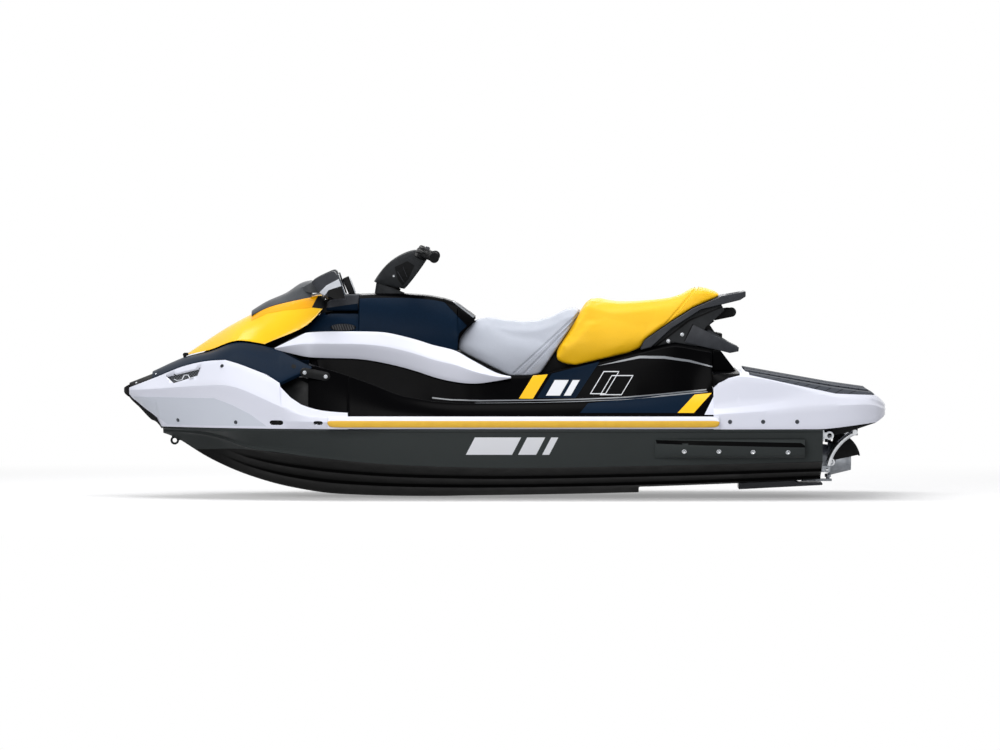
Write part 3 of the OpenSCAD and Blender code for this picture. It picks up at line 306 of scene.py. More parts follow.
# deeper yellow for the hood's upper band above its crease: painted shade
shadedYellowPaint = glossSkin("yellowPaintPaintedShade", "#f9b000", "#f6aa00", 0.26, 0.3)
whiteFilm = glossSkin("whiteFilmPrinted", "#eef0f5", "#e6e8ee", 0.3, 0.35, peel=0.01)
blackPlastic = mouldedPlastic("blackAbsMoulded", "#0b0c0d", "#131416", 0.45, specular=0.12)
darkPlastic = mouldedPlastic("charcoalAbsMoulded", "#232527", "#2b2d30", 0.46, specular=0.16)
visorPlastic = mouldedPlastic("greyAbsMouldedVisor", "#43464a", "#4b4e52", 0.44, specular=0.2)
greyPlastic = mouldedPlastic("greyAbsMoulded", "#35373c", "#3f4146", 0.46, specular=0.18)
glossBlack = mouldedPlastic("blackAcrylicPolished", "#050506", "#070708", 0.1, 4.0, 0.02, 0.2)
silverPlastic = mouldedPlastic("silverAbsPainted", "#cfd3da", "#dadde4", 0.28, 2.0, 0.05)
blackRubber = mouldedPlastic("blackRubberMoulded", "#09090a", "#121214", 0.62, 1.6, 0.35, 0.12)
darkRubber = mouldedPlastic("charcoalRubberMoulded", "#202224", "#27292c", 0.6, 1.6, 0.3, 0.14)
goldRubber = mouldedPlastic("goldRubberExtruded", "#e9b93a", "#e2b034", 0.4, 1.2, 0.12)
greyVinyl = marineVinyl("greyVinylGrained", "#b9bec9", "#aeb3bf")
yellowVinyl = marineVinyl("yellowVinylGrained", "#fac507", "#f4bb02")
threadGrey = mouldedPlastic("polyesterThreadGrey", "#7d818b", "#8d919b", 0.7, 0.6, 0.4)
threadGold = mouldedPlastic("polyesterThreadGold", "#b98a02", "#c79705", 0.7, 0.6, 0.4)
foamMat = routedFoam("greyFoamRouted", "#4a4e56", "#23252a", 26, 3.2, math.radians(45))
ventMesh = ventWeave("greyMeshWoven", "#55585e", "#0a0a0b", 8.0, 2.6)
castAlloy = metalFinish("aluminiumCast", "#a9adb3", "#8f9399", 0.42, 1.4, 0.25)
stainless = metalFinish("stainlessPolished", "#d5d7da", "#b9bcc0", 0.2, 0.5, 0.05, (0.1, 1, 1))
darkAlloy = metalFinish("aluminiumCastPainted", "#55585d", "#3f4247", 0.5, 1.6, 0.3)
mirrorSilver = metalFinish("mirrorSilvered", "#5a6068", "#525860", 0.05, 30.0, 0.0)
print("materials:", len(bpy.data.materials))


# Mesh helpers
def vertsOf(geom):
    return [g for g in geom if isinstance(g, bmesh.types.BMVert)]


def facesOf(geom):
    return [g for g in geom if isinstance(g, bmesh.types.BMFace)]


def allOf(bm):
    return bm.verts[:] + bm.edges[:] + bm.faces[:]


def roundEdges(bm, edges, radius, segments=2):
    bmesh.ops.bevel(bm, geom=edges, offset=radius, offset_type="OFFSET", affect="EDGES",
                    segments=segments, profile=0.5, material=-1)


def easeSurface(bm, passes):
    for step in range(passes):
        bmesh.ops.smooth_vert(bm, verts=bm.verts[:], factor=0.5, use_axis_x=True, use_axis_y=True,
                              use_axis_z=True)


def addBox(bm, seat, size):
    bmesh.ops.create_cube(bm, size=1.0, matrix=seat @ Matrix.Diagonal((*size, 1)))


def cadCopy(node):  # merged copy of a CAD node
    bm = bmesh.new()
    bm.from_mesh(frame["nodes"][node].data)
    bmesh.ops.remove_doubles(bm, verts=bm.verts[:], dist=2e-5)
    bmesh.ops.dissolve_degenerate(bm, dist=1e-5, edges=bm.edges[:])
    return bm


def keepPiece(bm, name, materials, body, smooth=True, sharp=None):
    mesh = bpy.data.meshes.new(name)
    bm.to_mesh(mesh)
    bm.free()
    for material in materials if isinstance(materials, list) else [materials]:
        mesh.materials.append(material)
    if smooth:
        mesh.shade_smooth()
    if sharp:
        mesh.set_sharp_from_angle(angle=math.radians(sharp))
    piece = bpy.data.objects.new(name, mesh)
    scene.collection.objects.link(piece)
    if body:
        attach(piece, body)
    return piece


def bodyOf(node):
    return next(body for body, nodes in frame["record"]["behaviour"]["bodies"].items()
                if node in nodes)


# A skin is a merged copy of a CAD node with its hard lines kept, smoothed between them
def skinOf(node, name, materials, crease=24, levels=2, bevel=0.0025, join=35, zones=None,
           edgeSlot=-1):
    bm = cadCopy(node)
    bmesh.ops.join_triangles(bm, faces=bm.faces[:], angle_face_threshold=math.radians(join),
                             angle_shape_threshold=math.radians(150))
    hard = bm.edges.layers.float.new("crease_edge")
    for edge in bm.edges:
        if len(edge.link_faces) != 2 or edge.calc_face_angle() > math.radians(crease):
            edge[hard] = 1.0
    if zones:
        for face in bm.faces:
            face.material_index = zones(face)
    piece = keepPiece(bm, name, materials, bodyOf(node))
    if levels:
        smoother = piece.modifiers.new("smoothing", "SUBSURF")
        smoother.levels = smoother.render_levels = levels
    if bevel:
        edges = piece.modifiers.new("edgeRadius", "BEVEL")
        edges.width = bevel
        edges.segments = 2
        edges.limit_method = "ANGLE"
        edges.angle_limit = math.radians(30)
        edges.material = edgeSlot
    if not levels:
        piece.data.set_sharp_from_angle(angle=math.radians(35))
    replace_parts(piece, node)
    return piece


def evaluated(piece):  # mesh of a piece with its modifiers worked in
    bpy.context.view_layer.update()
    return bpy.data.meshes.new_from_object(
        piece.evaluated_get(bpy.context.evaluated_depsgraph_get()))


def mirrorAcross(bm):  # the same again on the other side
    made = bmesh.ops.duplicate(bm, geom=allOf(bm))["geom"]
    bmesh.ops.scale(bm, vec=(1, -1, 1), verts=vertsOf(made))
    bmesh.ops.reverse_faces(bm, faces=facesOf(made))


def outlinePlanes(outline):  # middle of a side-view outline, and a plane facing out of each side
    corners = [spot(*p) for p in outline]
    middle = sum(corners, Vector()) / len(corners)
    planes = []
    for a, b in zip(corners, corners[1:] + corners[:1]):
        across = Vector(((b - a).z, 0, -(b - a).x)).normalized()
        planes.append((a, -across if across.dot(middle - a) > 0 else across))
    return corners, middle, planes


# Skins of the CAD nodes
zoneSet = {"insertHighlightFrom": 0.3, "hoodUnder": -0.5, "hoodSide": 0.3, "earsFrom": 1.296,
           "capSlope": 0.8, "capFrom": 0.5}


def insertHighlightZone(face):  # white on the upward faces of the gold strip: painted highlight
    return 1 if face.normal.z > zoneSet["insertHighlightFrom"] else 0


def hoodZone(face):  # black hinge ears ahead of the hood and black lining inside it
    centre, facing = face.calc_center_median(), face.normal
    turned = facing.y * centre.y < 0 and abs(facing.y) > zoneSet["hoodSide"]
    inside = facing.z < zoneSet["hoodUnder"] or turned
    return 1 if inside or centre.x > zoneSet["earsFrom"] else 0


def consoleZone(face):  # black cap over navy sides
    high = face.calc_center_median().z > zoneSet["capFrom"]
    return 1 if high and face.normal.z > zoneSet["capSlope"] else 0


skins = {}
skinTable = {
    "hull_shell": ("hullSkin", hullGelcoat, {"crease": 16}),
    # the deck's bevels take the lighter second material: painted highlight
    "deck": ("deckSkin", [deckGelcoat, deckEdgeHighlight], {"crease": 30, "bevel": 0.004, "edgeSlot": 1}),
    "storage_bin": ("storageTub", blackPlastic, {"levels": 0}),
    "rear_deck": ("sternPlatform", whiteGelcoat, {"crease": 16}),
    "pedestal_tail": ("pedestalTail", deckGelcoat, {"levels": 0, "bevel": 0.006}),
    "rear_mats": ("sternMats", foamMat, {"levels": 0, "bevel": 0.002}),
    "footwell_mats": ("footMats", foamMat, {"levels": 0, "bevel": 0.002}),
    "rub_rails": ("rubRails", whiteGelcoat, {"crease": 50, "levels": 1, "bevel": 0.0015}),
    # the gold strip's upward faces are white: painted highlight
    "rail_inserts": ("railInserts", [goldRubber, whiteGelcoat],
                     {"crease": 60, "levels": 1, "bevel": 0.0015, "zones": insertHighlightZone}),
    "nose_bumper": ("noseBumper", blackRubber, {"crease": 35, "levels": 1, "bevel": 0.003}),
    "bow_fairing_left": ("bowFairingPort", whiteGelcoat, {"crease": 9}),
    "bow_fairing_right": ("bowFairingStarboard", whiteGelcoat, {"crease": 9}),
    "shoulder_left": ("shoulderPort", navyPaint, {"crease": 30}),
    "shoulder_right": ("shoulderStarboard", navyPaint, {"crease": 30}),
    "console": ("consoleShell", [navyPaint, deckGelcoat], {"crease": 40, "zones": consoleZone}),
    "dash": ("dashMoulding", greyPlastic, {"levels": 0, "bevel": 0.006}),
    "display": ("displayCase", blackPlastic, {"levels": 0, "bevel": 0.005}),
    "side_panel_left": ("sidePanelPort", whiteGelcoat, {"crease": 40}),
    "side_panel_right": ("sidePanelStarboard", whiteGelcoat, {"crease": 40}),
    "grab_handle": ("grabHandle", greyPlastic, {"levels": 0, "bevel": 0.009}),
    "seat_base": ("seatBase", darkPlastic, {"levels": 0, "bevel": 0.004}),
    "tow_bracket": ("towBracket", greyPlastic, {"levels": 0, "bevel": 0.005}),
    "sponsons": ("sponsonPair", graphiteGelcoat, {"crease": 30, "levels": 1, "bevel": 0.003}),
    "ride_plate": ("ridePlate", platePaint, {"levels": 0, "bevel": 0.003}),
    "intake_grate": ("intakeGrate", castAlloy, {"levels": 0, "bevel": 0.002}),
    "pump_housing": ("pumpHousing", castAlloy, {"levels": 0, "bevel": 0.0015}),
    "step_brackets": ("stepBrackets", castAlloy, {"levels": 0, "bevel": 0.0012}),
    "stern_eyes": ("sternEyes", stainless, {"levels": 0, "bevel": 0.0015}),
    "engine": ("engineBlock", darkAlloy, {"levels": 0, "bevel": 0.008}),
    "steering_collar": ("steeringCollar", blackRubber, {"levels": 0, "bevel": 0.003}),
    "hinge_bracket": ("hingeBracket", blackPlastic, {"levels": 0, "bevel": 0.001}),
    "hood": ("hoodSkin", [yellowPaint, blackPlastic], {"crease": 26, "zones": hoodZone}),
    "visor": ("visorSkin", visorPlastic, {"crease": 34}),
    "mirror_housings": ("mirrorHousings", greyPlastic, {"crease": 75, "bevel": 0.002}),
    "mirror_glasses": ("mirrorGlasses", mirrorSilver, {"levels": 0, "bevel": 0.001}),
    "handlebar": ("handlebarTube", blackPlastic, {"levels": 0, "bevel": 0.0015}),
    "handlebar_pad": ("handlebarPad", darkPlastic, {"crease": 80, "levels": 2, "bevel": 0.003}),
    "steering_nozzle": ("steeringNozzle", castAlloy, {"levels": 0, "bevel": 0.0015}),
    "reverse_bucket": ("reverseBucket", blackPlastic, {"levels": 0, "bevel": 0.002}),
    "impeller": ("impellerWheel", stainless, {"levels": 0, "bevel": 0.001}),
    "drive_shaft": ("driveShaft", stainless, {"levels": 0, "bevel": 0.001}),
    "boarding_step": ("boardingStep", stainless, {"levels": 0, "bevel": 0}),
    "step_tread": ("stepTread", blackRubber, {"levels": 0, "bevel": 0.003}),
}
for node, (name, materials, choices) in skinTable.items():
    skins[node] = skinOf(node, name, materials, **choices)
print("skins:", len(skins))


# Seats: swollen by air pressure inside their covers, seams pulled in afterwards
seatSet = {"voxel": 0.0062, "shrink": 0.001, "rounding": 5, "pressure": 4.0, "quality": 4,
           "frames": 20, "cap": 0.007, "easing": 9, "footSlope": -0.55, "fill": 0.85,
           "seamDepth": 0.0034, "seamWidth": 0.0042, "seamSlope": -0.5,
           "stitchPitch": 0.0085, "stitchGap": 0.0065, "stitchSlope": -0.3,
           "threadRadius": 0.0011, "threadStretch": 2.6, "threadLift": 0.0004}


def swell(piece, pinBelow):
    start = [v.co.copy() for v in piece.data.vertices]
    group = piece.vertex_groups.new(name="seatFoot")
    group.add([i for i, co in enumerate(start) if pinBelow(co)], 1.0, "REPLACE")
    cloth = piece.modifiers.new("swelling", "CLOTH")
    cloth.settings.vertex_group_mass = "seatFoot"
    cloth.settings.use_pressure = True
    cloth.settings.uniform_pressure_force = seatSet["pressure"]
    cloth.settings.effector_weights.gravity = 0.0
    cloth.settings.quality = seatSet["quality"]
    cloth.collision_settings.use_collision = False
    cloth.point_cache.frame_end = seatSet["frames"]
    for step in range(1, seatSet["frames"] + 1):
        scene.frame_set(step)
    swollen = evaluated(piece)
    moved = [v.co.copy() for v in swollen.vertices]
    piece.modifiers.remove(cloth)
    piece.vertex_groups.clear()
    bpy.data.meshes.remove(swollen)
    scene.frame_set(1)
    for vertex, a, b in zip(piece.data.vertices, start, moved):
        shift = b - a
        if shift.length > seatSet["cap"]:
            shift *= seatSet["cap"] / shift.length
        vertex.co = a + shift


def seatCover(node, name, material, seams, threadMaterial):
    bm = cadCopy(node)
    bmesh.ops.recalc_face_normals(bm, faces=bm.faces[:])
    for vertex in bm.verts:
        vertex.co -= vertex.normal * seatSet["shrink"]
    piece = keepPiece(bm, name, material, "hull")
    remesh = piece.modifiers.new("voxels", "REMESH")
    remesh.mode = "VOXEL"
    remesh.voxel_size = seatSet["voxel"]
    fine = evaluated(piece)
    piece.modifiers.clear()
    piece.data = fine
    bm = bmesh.new()
    bm.from_mesh(fine)
    easeSurface(bm, seatSet["rounding"])
    bm.to_mesh(fine)
    bm.free()
    fine.shade_smooth()
    normals = [v.normal.copy() for v in fine.vertices]
    downs = {i for i, n in enumerate(normals) if n.z < seatSet["footSlope"]}
    index = {tuple(round(c, 5) for c in v.co): i for i, v in enumerate(fine.vertices)}
    swell(piece, lambda co: index.get(tuple(round(c, 5) for c in co)) in downs)
    bm = bmesh.new()
    bm.from_mesh(piece.data)
    easeSurface(bm, seatSet["easing"])
    bmesh.ops.subdivide_edges(bm, edges=bm.edges[:], cuts=1, smooth=0.6, use_grid_fill=True)
    bm.normal_update()
    for vertex in bm.verts:
        pull = 0.0
        for point, normal in seams:
            gap = (vertex.co - point).dot(normal) / seatSet["seamWidth"]
            pull = max(pull, math.exp(-gap * gap))
        if vertex.normal.z > seatSet["seamSlope"]:
            vertex.co -= vertex.normal * pull * seatSet["seamDepth"]
    stitches = bmesh.new()
    for point, normal in seams:
        for side in (-1, 1):
            sewLine(bm, stitches, point + normal * side * seatSet["stitchGap"], normal)
    bm.to_mesh(piece.data)
    bm.free()
    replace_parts(piece, node)
    keepPiece(stitches, name + "Stitching", threadMaterial, "hull")


def sewLine(cover, stitches, point, normal):  # short threads along a cut through the cover
    cut = cover.copy()
    found = bmesh.ops.bisect_plane(cut, geom=allOf(cut), plane_co=point,
                                   plane_no=normal)["geom_cut"]
    edges = [g for g in found if isinstance(g, bmesh.types.BMEdge)]
    spare = 0.0
    links = {}
    for edge in edges:
        for vertex in edge.verts:
            links.setdefault(vertex, []).append(edge)
    edge = edges[0]
    vertex = edge.verts[0]
    seen = set()
    while edge and edge not in seen:
        seen.add(edge)
        other = edge.other_vert(vertex)
        spare += (other.co - vertex.co).length
        if spare > seatSet["stitchPitch"] and other.normal.z > seatSet["stitchSlope"]:
            spare = 0.0
            along = (other.co - vertex.co).normalized()
            turn = along.to_track_quat("Z", "Y").to_matrix().to_4x4()
            seat = Matrix.Translation(other.co + other.normal * seatSet["threadLift"]) @ turn
            thread = bmesh.ops.create_icosphere(stitches, subdivisions=1,
                                                radius=seatSet["threadRadius"])["verts"]
            bmesh.ops.scale(stitches, vec=(1, 1, seatSet["threadStretch"]), verts=thread)
            bmesh.ops.transform(stitches, matrix=seat, verts=thread)
        vertex = other
        edge = next((e for e in links[other] if e not in seen), None)
    cut.free()


def seamThrough(a, b):  # plane across the seat through two points of the side view
    start, end = spot(*a), spot(*b)
    along = (end - start).normalized()
    return start, Vector((along.z, 0, -along.x))


seatCover("front_seat", "frontSeatCover", greyVinyl,
          [seamThrough((581, 313), (518, 371)), seamThrough((577, 320), (526, 373))], threadGrey)
seatCover("rear_seat", "rearSeatCover", yellowVinyl,
          [seamThrough((690, 298), (655, 338))], threadGold)
print("seats sewn")


# Webs, gaskets and black plates that paint the shade seen through gaps: a side-view profile given a
# width, twice if it starts off the middle
def acrossBody(name, profile, span, material, body="hull", edge=0.002):
    bm = bmesh.new()
    near, far = span
    foot = bm.faces.new([bm.verts.new(spot(*p) + Vector((0, near, 0))) for p in profile])
    grown = bmesh.ops.extrude_face_region(bm, geom=[foot])["geom"]
    bmesh.ops.translate(bm, vec=(0, far - near, 0), verts=vertsOf(grown))
    bmesh.ops.recalc_face_normals(bm, faces=bm.faces[:])
    roundEdges(bm, bm.edges[:], edge)
    if near > 0:
        mirrorAcross(bm)
    return keepPiece(bm, name, material, body, sharp=40)


webTable = {
    "seatGusset": ([(540, 375), (568, 369), (583, 320), (577, 320), (552, 357)], (-0.13, 0.13),
                   blackRubber),
    "consoleGasket": ([(452, 352), (466, 352), (479, 325), (473, 321), (455, 334)],
                      (-0.062, 0.062), blackRubber),
    # a black plate inside the hood that fills the gap along its lower edge: painted shade
    "hoodGapShade": ([(191, 360), (262, 352), (290, 346), (312, 332), (316, 318), (323.8, 309.5),
                 (323.8, 298), (312, 302), (300, 312), (262, 326), (236, 333), (216, 343.5),
                 (208, 349.5), (200, 355), (193, 358.8)], (-0.010, 0.010), blackPlastic, "lid"),
    "dashFoot": ([(325.3, 310), (345, 307), (345, 319), (318, 322), (321, 317)], (-0.09, 0.09),
                 blackPlastic),
    "dashLips": ([(332, 298), (332, 317), (319.5, 317), (318.5, 310), (319, 301.4), (324.8, 301.4),
                  (325.4, 298)], (0.086, 0.106), blackPlastic),
    # black plates inside the body that fill the gap under the side panel: painted shade
    "bayShadePlates": ([(266, 350), (292, 342), (326, 345), (326, 361), (300, 361), (285, 353)],
                  (0.150, 0.156), blackPlastic),
    "dashGasket": ([(354, 305), (364, 305), (364, 316), (354, 316)], (-0.06, 0.06), blackRubber),
    "seatPan": ([(556, 373), (600, 364), (640, 353), (672, 343), (672, 337), (640, 345),
                 (600, 356), (560, 364)], (-0.12, 0.12), blackRubber),
    "bracketWeb": ([(689, 345), (697, 326), (712, 322.5), (716, 322.3), (711, 326), (716, 333.5),
                    (723.5, 335), (723.5, 341), (708, 347)], (-0.085, 0.085), blackPlastic),
    "bracketWings": ([(686, 342.3), (694, 325.5), (740, 348.4), (739.6, 352.5), (731, 354.2),
                      (724, 352.5), (686, 343.6)], (0.105, 0.147), greyPlastic),
    "hookCheeks": ([(714, 311), (729, 309), (736, 309.6), (735.4, 318), (716, 322)],
                   (0.014, 0.024), blackPlastic),
}
for name, choices in webTable.items():
    acrossBody(name, *choices)
print("webs and gaskets:", len(webTable))


# Films and plates cut from a skin inside a convex outline of the side view
patchSet = {"middle": 0.005, "margin": 0.03, "belt": 0.06}
skinMeshes = {}


def patchOf(node, outline, side, lift, thick, facing):
    if node not in skinMeshes:
        skinMeshes[node] = evaluated(skins[node])
    bm = bmesh.new()
    bm.from_mesh(skinMeshes[node])
    bm.normal_update()
    away = [f for f in bm.faces
            if f.normal.y * side < facing or f.calc_center_median().y * side < patchSet["middle"]]
    bmesh.ops.delete(bm, geom=away, context="FACES")
    for a, across in outlinePlanes(outline)[2]:
        bmesh.ops.bisect_plane(bm, geom=allOf(bm), plane_co=a, plane_no=across, clear_outer=True)
    if not bm.faces:
        print("empty patch", node, outline[0])
        return bm
    bm.normal_update()
    for vertex in bm.verts:
        vertex.co += vertex.normal * lift
    if thick:
        bmesh.ops.solidify(bm, geom=bm.faces[:], thickness=thick)
    return bm


def film(name, node, outlines, material, lift=0.0006, thick=0.0005, facing=0.08):
    whole = bmesh.new()
    for side in (1, -1):
        target = node
        if side < 0 and node.endswith("_left"):
            target = node.replace("_left", "_right")
        for outline in outlines:
            part = patchOf(target, outline, side, lift, thick, facing)
            mesh = bpy.data.meshes.new("part")
            part.to_mesh(mesh)
            part.free()
            whole.from_mesh(mesh)
            bpy.data.meshes.remove(mesh)
    return keepPiece(whole, name, material, bodyOf(node), sharp=40)


def slotOutline(a, b, radius):  # round-ended slot
    ends = []
    for centre, start in ((b, -90), (a, 90)):
        for step in range(7):
            angle = math.radians(start + 30 * step)
            ends.append((centre[0] + radius * math.cos(angle), centre[1] + radius * math.sin(angle)))
    return ends


def slanted(left, right, low, high, lean):  # bar with leaning ends, by photo columns and rows
    return [(left, low), (right, low), (right + lean, high), (left + lean, high)]


def ribbon(points, tall):  # strips under each stretch of a line
    return [[a, b, (b[0], b[1] + tall), (a[0], a[1] + tall)] for a, b in zip(points, points[1:])]


def barFrame(left, right, low, high, lean, line):  # the four sides of an outlined bar
    slope = lean / (low - high)
    return [slanted(left, right, low, low - line, line * slope),
            slanted(left + slope * (low - high - line), right + slope * (low - high - line),
                    high + line, high, line * slope),
            slanted(left, left + line, low, high, lean),
            slanted(right - line, right, low, high, lean)]


filmTable = {
    "hullBars": ("hull_shell", [slanted(466, 512, 453.5, 436, 9), slanted(518, 536, 453.5, 436, 9),
                                slanted(542, 549, 453.5, 436, 9)], whiteFilm, {}),
    "pedestalStripe": ("deck", [[(519, 399.4), (533, 399.6), (548, 375.4), (533.2, 376.6)]],
                       yellowPaint, {}),
    "pedestalNavy": ("deck", [[(537, 399), (576, 398.6), (600, 362.5), (552, 374.6)]], navyPaint,
                     {"lift": 0.0005}),
    "pedestalBars": ("deck", [slanted(546, 560, 396.5, 381, 9), slanted(564, 571, 396.5, 381, 9)],
                     whiteFilm, {"lift": 0.0009}),
    "pedestalOutlines": ("deck", barFrame(590, 606, 395, 372, 14, 0.9)
                         + barFrame(600, 622, 396, 376, 12, 0.9), whiteFilm, {"lift": 0.0009}),
    "deckNavy": ("deck", [[(579.6, 411.6), (692, 411.6), (702, 391), (640, 397), (588, 401.6)]],
                 navyPaint, {}),
    "deckStripe": ("deck", [[(676.6, 411.6), (693, 411.6), (711, 392), (694, 393.6)]], yellowPaint,
                   {"lift": 0.0009}),
    "mirrorBands": ("mirror_housings",
                    [[(318.6, 293.3), (326.3, 285.6), (328.5, 290.3), (323, 297.5)],
                     [(326.3, 285.6), (338.2, 279.3), (341, 286.2), (328.5, 290.3)],
                     [(338.2, 279.3), (339.8, 279.3), (347, 298), (345.4, 298.5)]],
                    silverPlastic, {"lift": 0.0012}),
    "mirrorSides": ("mirror_housings",
                    [[(326.8, 291), (341, 286.6), (345.4, 298.6), (328, 300.2)]], glossBlack, {}),
    # the hood's upper band in deeper yellow: painted shade above the crease
    "hoodBandShades": ("hood", [[(250, 322), (266, 314.5), (266, 296), (250, 296)],
                           [(266, 314.5), (283, 311.2), (283, 296), (266, 296)],
                           [(283, 311.2), (311, 308.5), (317, 297), (317, 290), (283, 290)]],
                  shadedYellowPaint, {}),
    # a raised film in greyer white over the fairing's lower facet, which faces down: painted shade
    "fairingFacetShades": ("bow_fairing_left",
                      [[(130, 398.2), (214, 398.2), (232, 404.5), (250, 413.4), (267, 425.5),
                        (166, 425.5)]], shadedWhiteGelcoat, {"lift": 0.0008, "thick": 0.0012}),
    # a black film on the side panel under the hood's lower edge: painted shade
    "panelShades": ("side_panel_left", [[(262, 346), (308, 327), (316, 328), (270, 350.5)]],
                    blackPlastic, {}),
    "dashSides": ("dash", [[(322, 309.5), (357, 304.5), (357, 313), (322, 313)]], navyPaint, {}),
    # black film where the pad has recesses: painted shade, no recess is cut; the grey ribs stand on it
    "padRecessShades": ("handlebar_pad", [[(394, 268), (407, 262), (414, 266.5), (408, 280), (402, 287),
                                       (397, 280)]], blackPlastic, {"lift": 0.0008}),
    "padRibs": ("handlebar_pad", [slotOutline((396, 271), (404, 284.5), 0.5),
                                  slotOutline((402, 267), (407, 279), 0.4)], greyPlastic,
                {"lift": 0.0016, "thick": 0.002}),
    "deckTails": ("deck", [[(703.5, 413.5), (715, 391), (722, 391), (722, 413.5)]], whiteGelcoat,
                  {"lift": 0.0012}),
    "platformShades": ("rear_deck", [[(712, 387), (718, 382), (718, 368), (712, 368)],
                                     [(718, 382), (728, 377), (728, 368), (718, 368)],
                                     [(728, 377), (739, 374.3), (739, 368), (728, 368)]],
                       deckGelcoat, {"lift": 0.0012, "facing": -0.3}),
    # raised strips coloured pale grey along the ledge and the pedestal crease: painted highlights
    "ledgeHighlights": ("deck", ribbon([(432, 398), (450, 400), (480, 400.9), (535.7, 400.4), (580, 399.5),
                                   (623.7, 397.6), (660, 394.6), (707, 389.9)], 1.2),
                   paleHighlightPaint, {"lift": 0.001, "thick": 0.003}),
    "pedestalHighlights": ("deck", [[(598, 366.8), (622, 361), (622, 362.6)],
                               [(622, 361), (640, 356.6), (640, 359.2), (622, 362.6)],
                               [(640, 356.6), (665, 357), (665, 359.6), (640, 359.2)],
                               [(665, 357), (690, 360.8), (690, 363), (665, 359.6)],
                               [(690, 360.8), (716, 367.8), (716, 369), (690, 363)]],
                      paleHighlightPaint, {"lift": 0.001, "thick": 0.003}),
    "handleLines": ("seat_base", [[(654, 348), (690, 320.5), (691, 322), (656, 348.5)],
                                  [(690, 320.5), (728, 305), (728, 306.6), (691, 322)],
                                  [(693.2, 325), (694.6, 325), (686.2, 342), (684.8, 342)]],
                    blackRubber, {}),
    # a flat black film where the sponson's groove is: painted shade, no groove is cut
    "sponsonGrooveShades": ("sponsons", [[(655, 438.6), (800, 441.8), (806, 446.2), (700, 444),
                                     (656, 442.2)]], bottomGelcoat, {}),
    # a flat black patch where the shoulder shows a dark hole: painted shade, no hole is cut
    "shoulderHoleShades": ("shoulder_left", [slotOutline((293.5, 366), (294.3, 366.2), 2.0)], blackRubber,
                      {}),
    "sternMatWraps": ("rear_deck", [[(745, 360), (876, 384), (876, 394.7), (835, 392.8),
                                     (748.5, 374)]], foamMat,
                      {"lift": 0.001, "thick": 0.003, "facing": -0.4}),
}
for name, (node, outlines, material, choices) in filmTable.items():
    film(name, node, outlines, material, **choices)
print("films laid:", len(filmTable))


# Fasteners stand on the surface that carries them
def touch(origin, along):  # first surface that a line from outside meets
    bpy.context.view_layer.update()
    found, place, facing, _, piece, _ = scene.ray_cast(
        bpy.context.evaluated_depsgraph_get(), Vector(origin), Vector(along))
    return (place, facing, piece) if found else (None, None, None)


def touchSide(column, row, side):
    place = spot(column, row)
    return touch((place.x, side * 2.0, place.z), (0, -side, 0))


def setBolt(bm, place, facing, radius, washer=1.35):
    seat = Matrix.Translation(place) @ facing.to_track_quat("Z", "Y").to_matrix().to_4x4()
    bmesh.ops.create_cone(bm, cap_ends=True, segments=24, radius1=radius * washer,
                          radius2=radius * washer * 0.94, depth=radius * 0.3,
                          matrix=seat @ Matrix.Translation((0, 0, radius * 0.12)))
    head = bmesh.ops.create_cone(bm, cap_ends=True, segments=24, radius1=radius,
                                 radius2=radius * 0.78, depth=radius * 0.6,
                                 matrix=seat @ Matrix.Translation((0, 0, radius * 0.5)))
    top = max((f for f in {f for v in head["verts"] for f in v.link_faces} if len(f.verts) > 4),
              key=lambda f: f.calc_center_median().dot(facing))
    bmesh.ops.inset_individual(bm, faces=[top], thickness=radius * 0.3, depth=0)
    bmesh.ops.translate(bm, vec=-facing * radius * 0.35, verts=top.verts[:])


def boltRow(name, body, marks, radius, material, washer=1.35):
    bm = bmesh.new()
    for side in (1, -1):
        for column, row in marks:
            place, facing, carrier = touchSide(column, row, side)
            if place is None:
                print("no surface for", name, column, row)
                continue
            setBolt(bm, place, facing, radius, washer)
            if side > 0:
                print(name, "on", carrier.name)
    return keepPiece(bm, name, material, body, sharp=35)


boltTable = {
    "sponsonBolts": ("hull", [(683.5, 450), (718, 450), (752, 450.5), (787, 451)], 0.0075, stainless),
    "platformBolts": ("hull", [(729, 420.5), (762, 420.5), (796, 420.5)], 0.0065, darkAlloy),
    "fairingScrews": ("hull", [(222, 366), (177, 421), (236, 422)], 0.006, darkAlloy),
    "noseScrews": ("hull", [(154, 375.4), (134, 384.6)], 0.0032, stainless),
    "seatBaseBolts": ("hull", [(669, 342), (683, 335.5)], 0.006, stainless),
    "padBolts": ("bars", [(393, 277)], 0.0035, stainless),
    "bucketPivotBolts": ("bucket", [(833, 464)], 0.011, stainless, 1.5),
}
for name, choices in boltTable.items():
    boltRow(name, *choices)
print("fasteners set")


# Shoulder brackets: a capsule plate with two bolts
bracketSet = {"ends": ((305, 372), (326, 376)), "radius": 0.019, "thick": 0.012, "sink": 0.004,
              "bolt": 0.006}


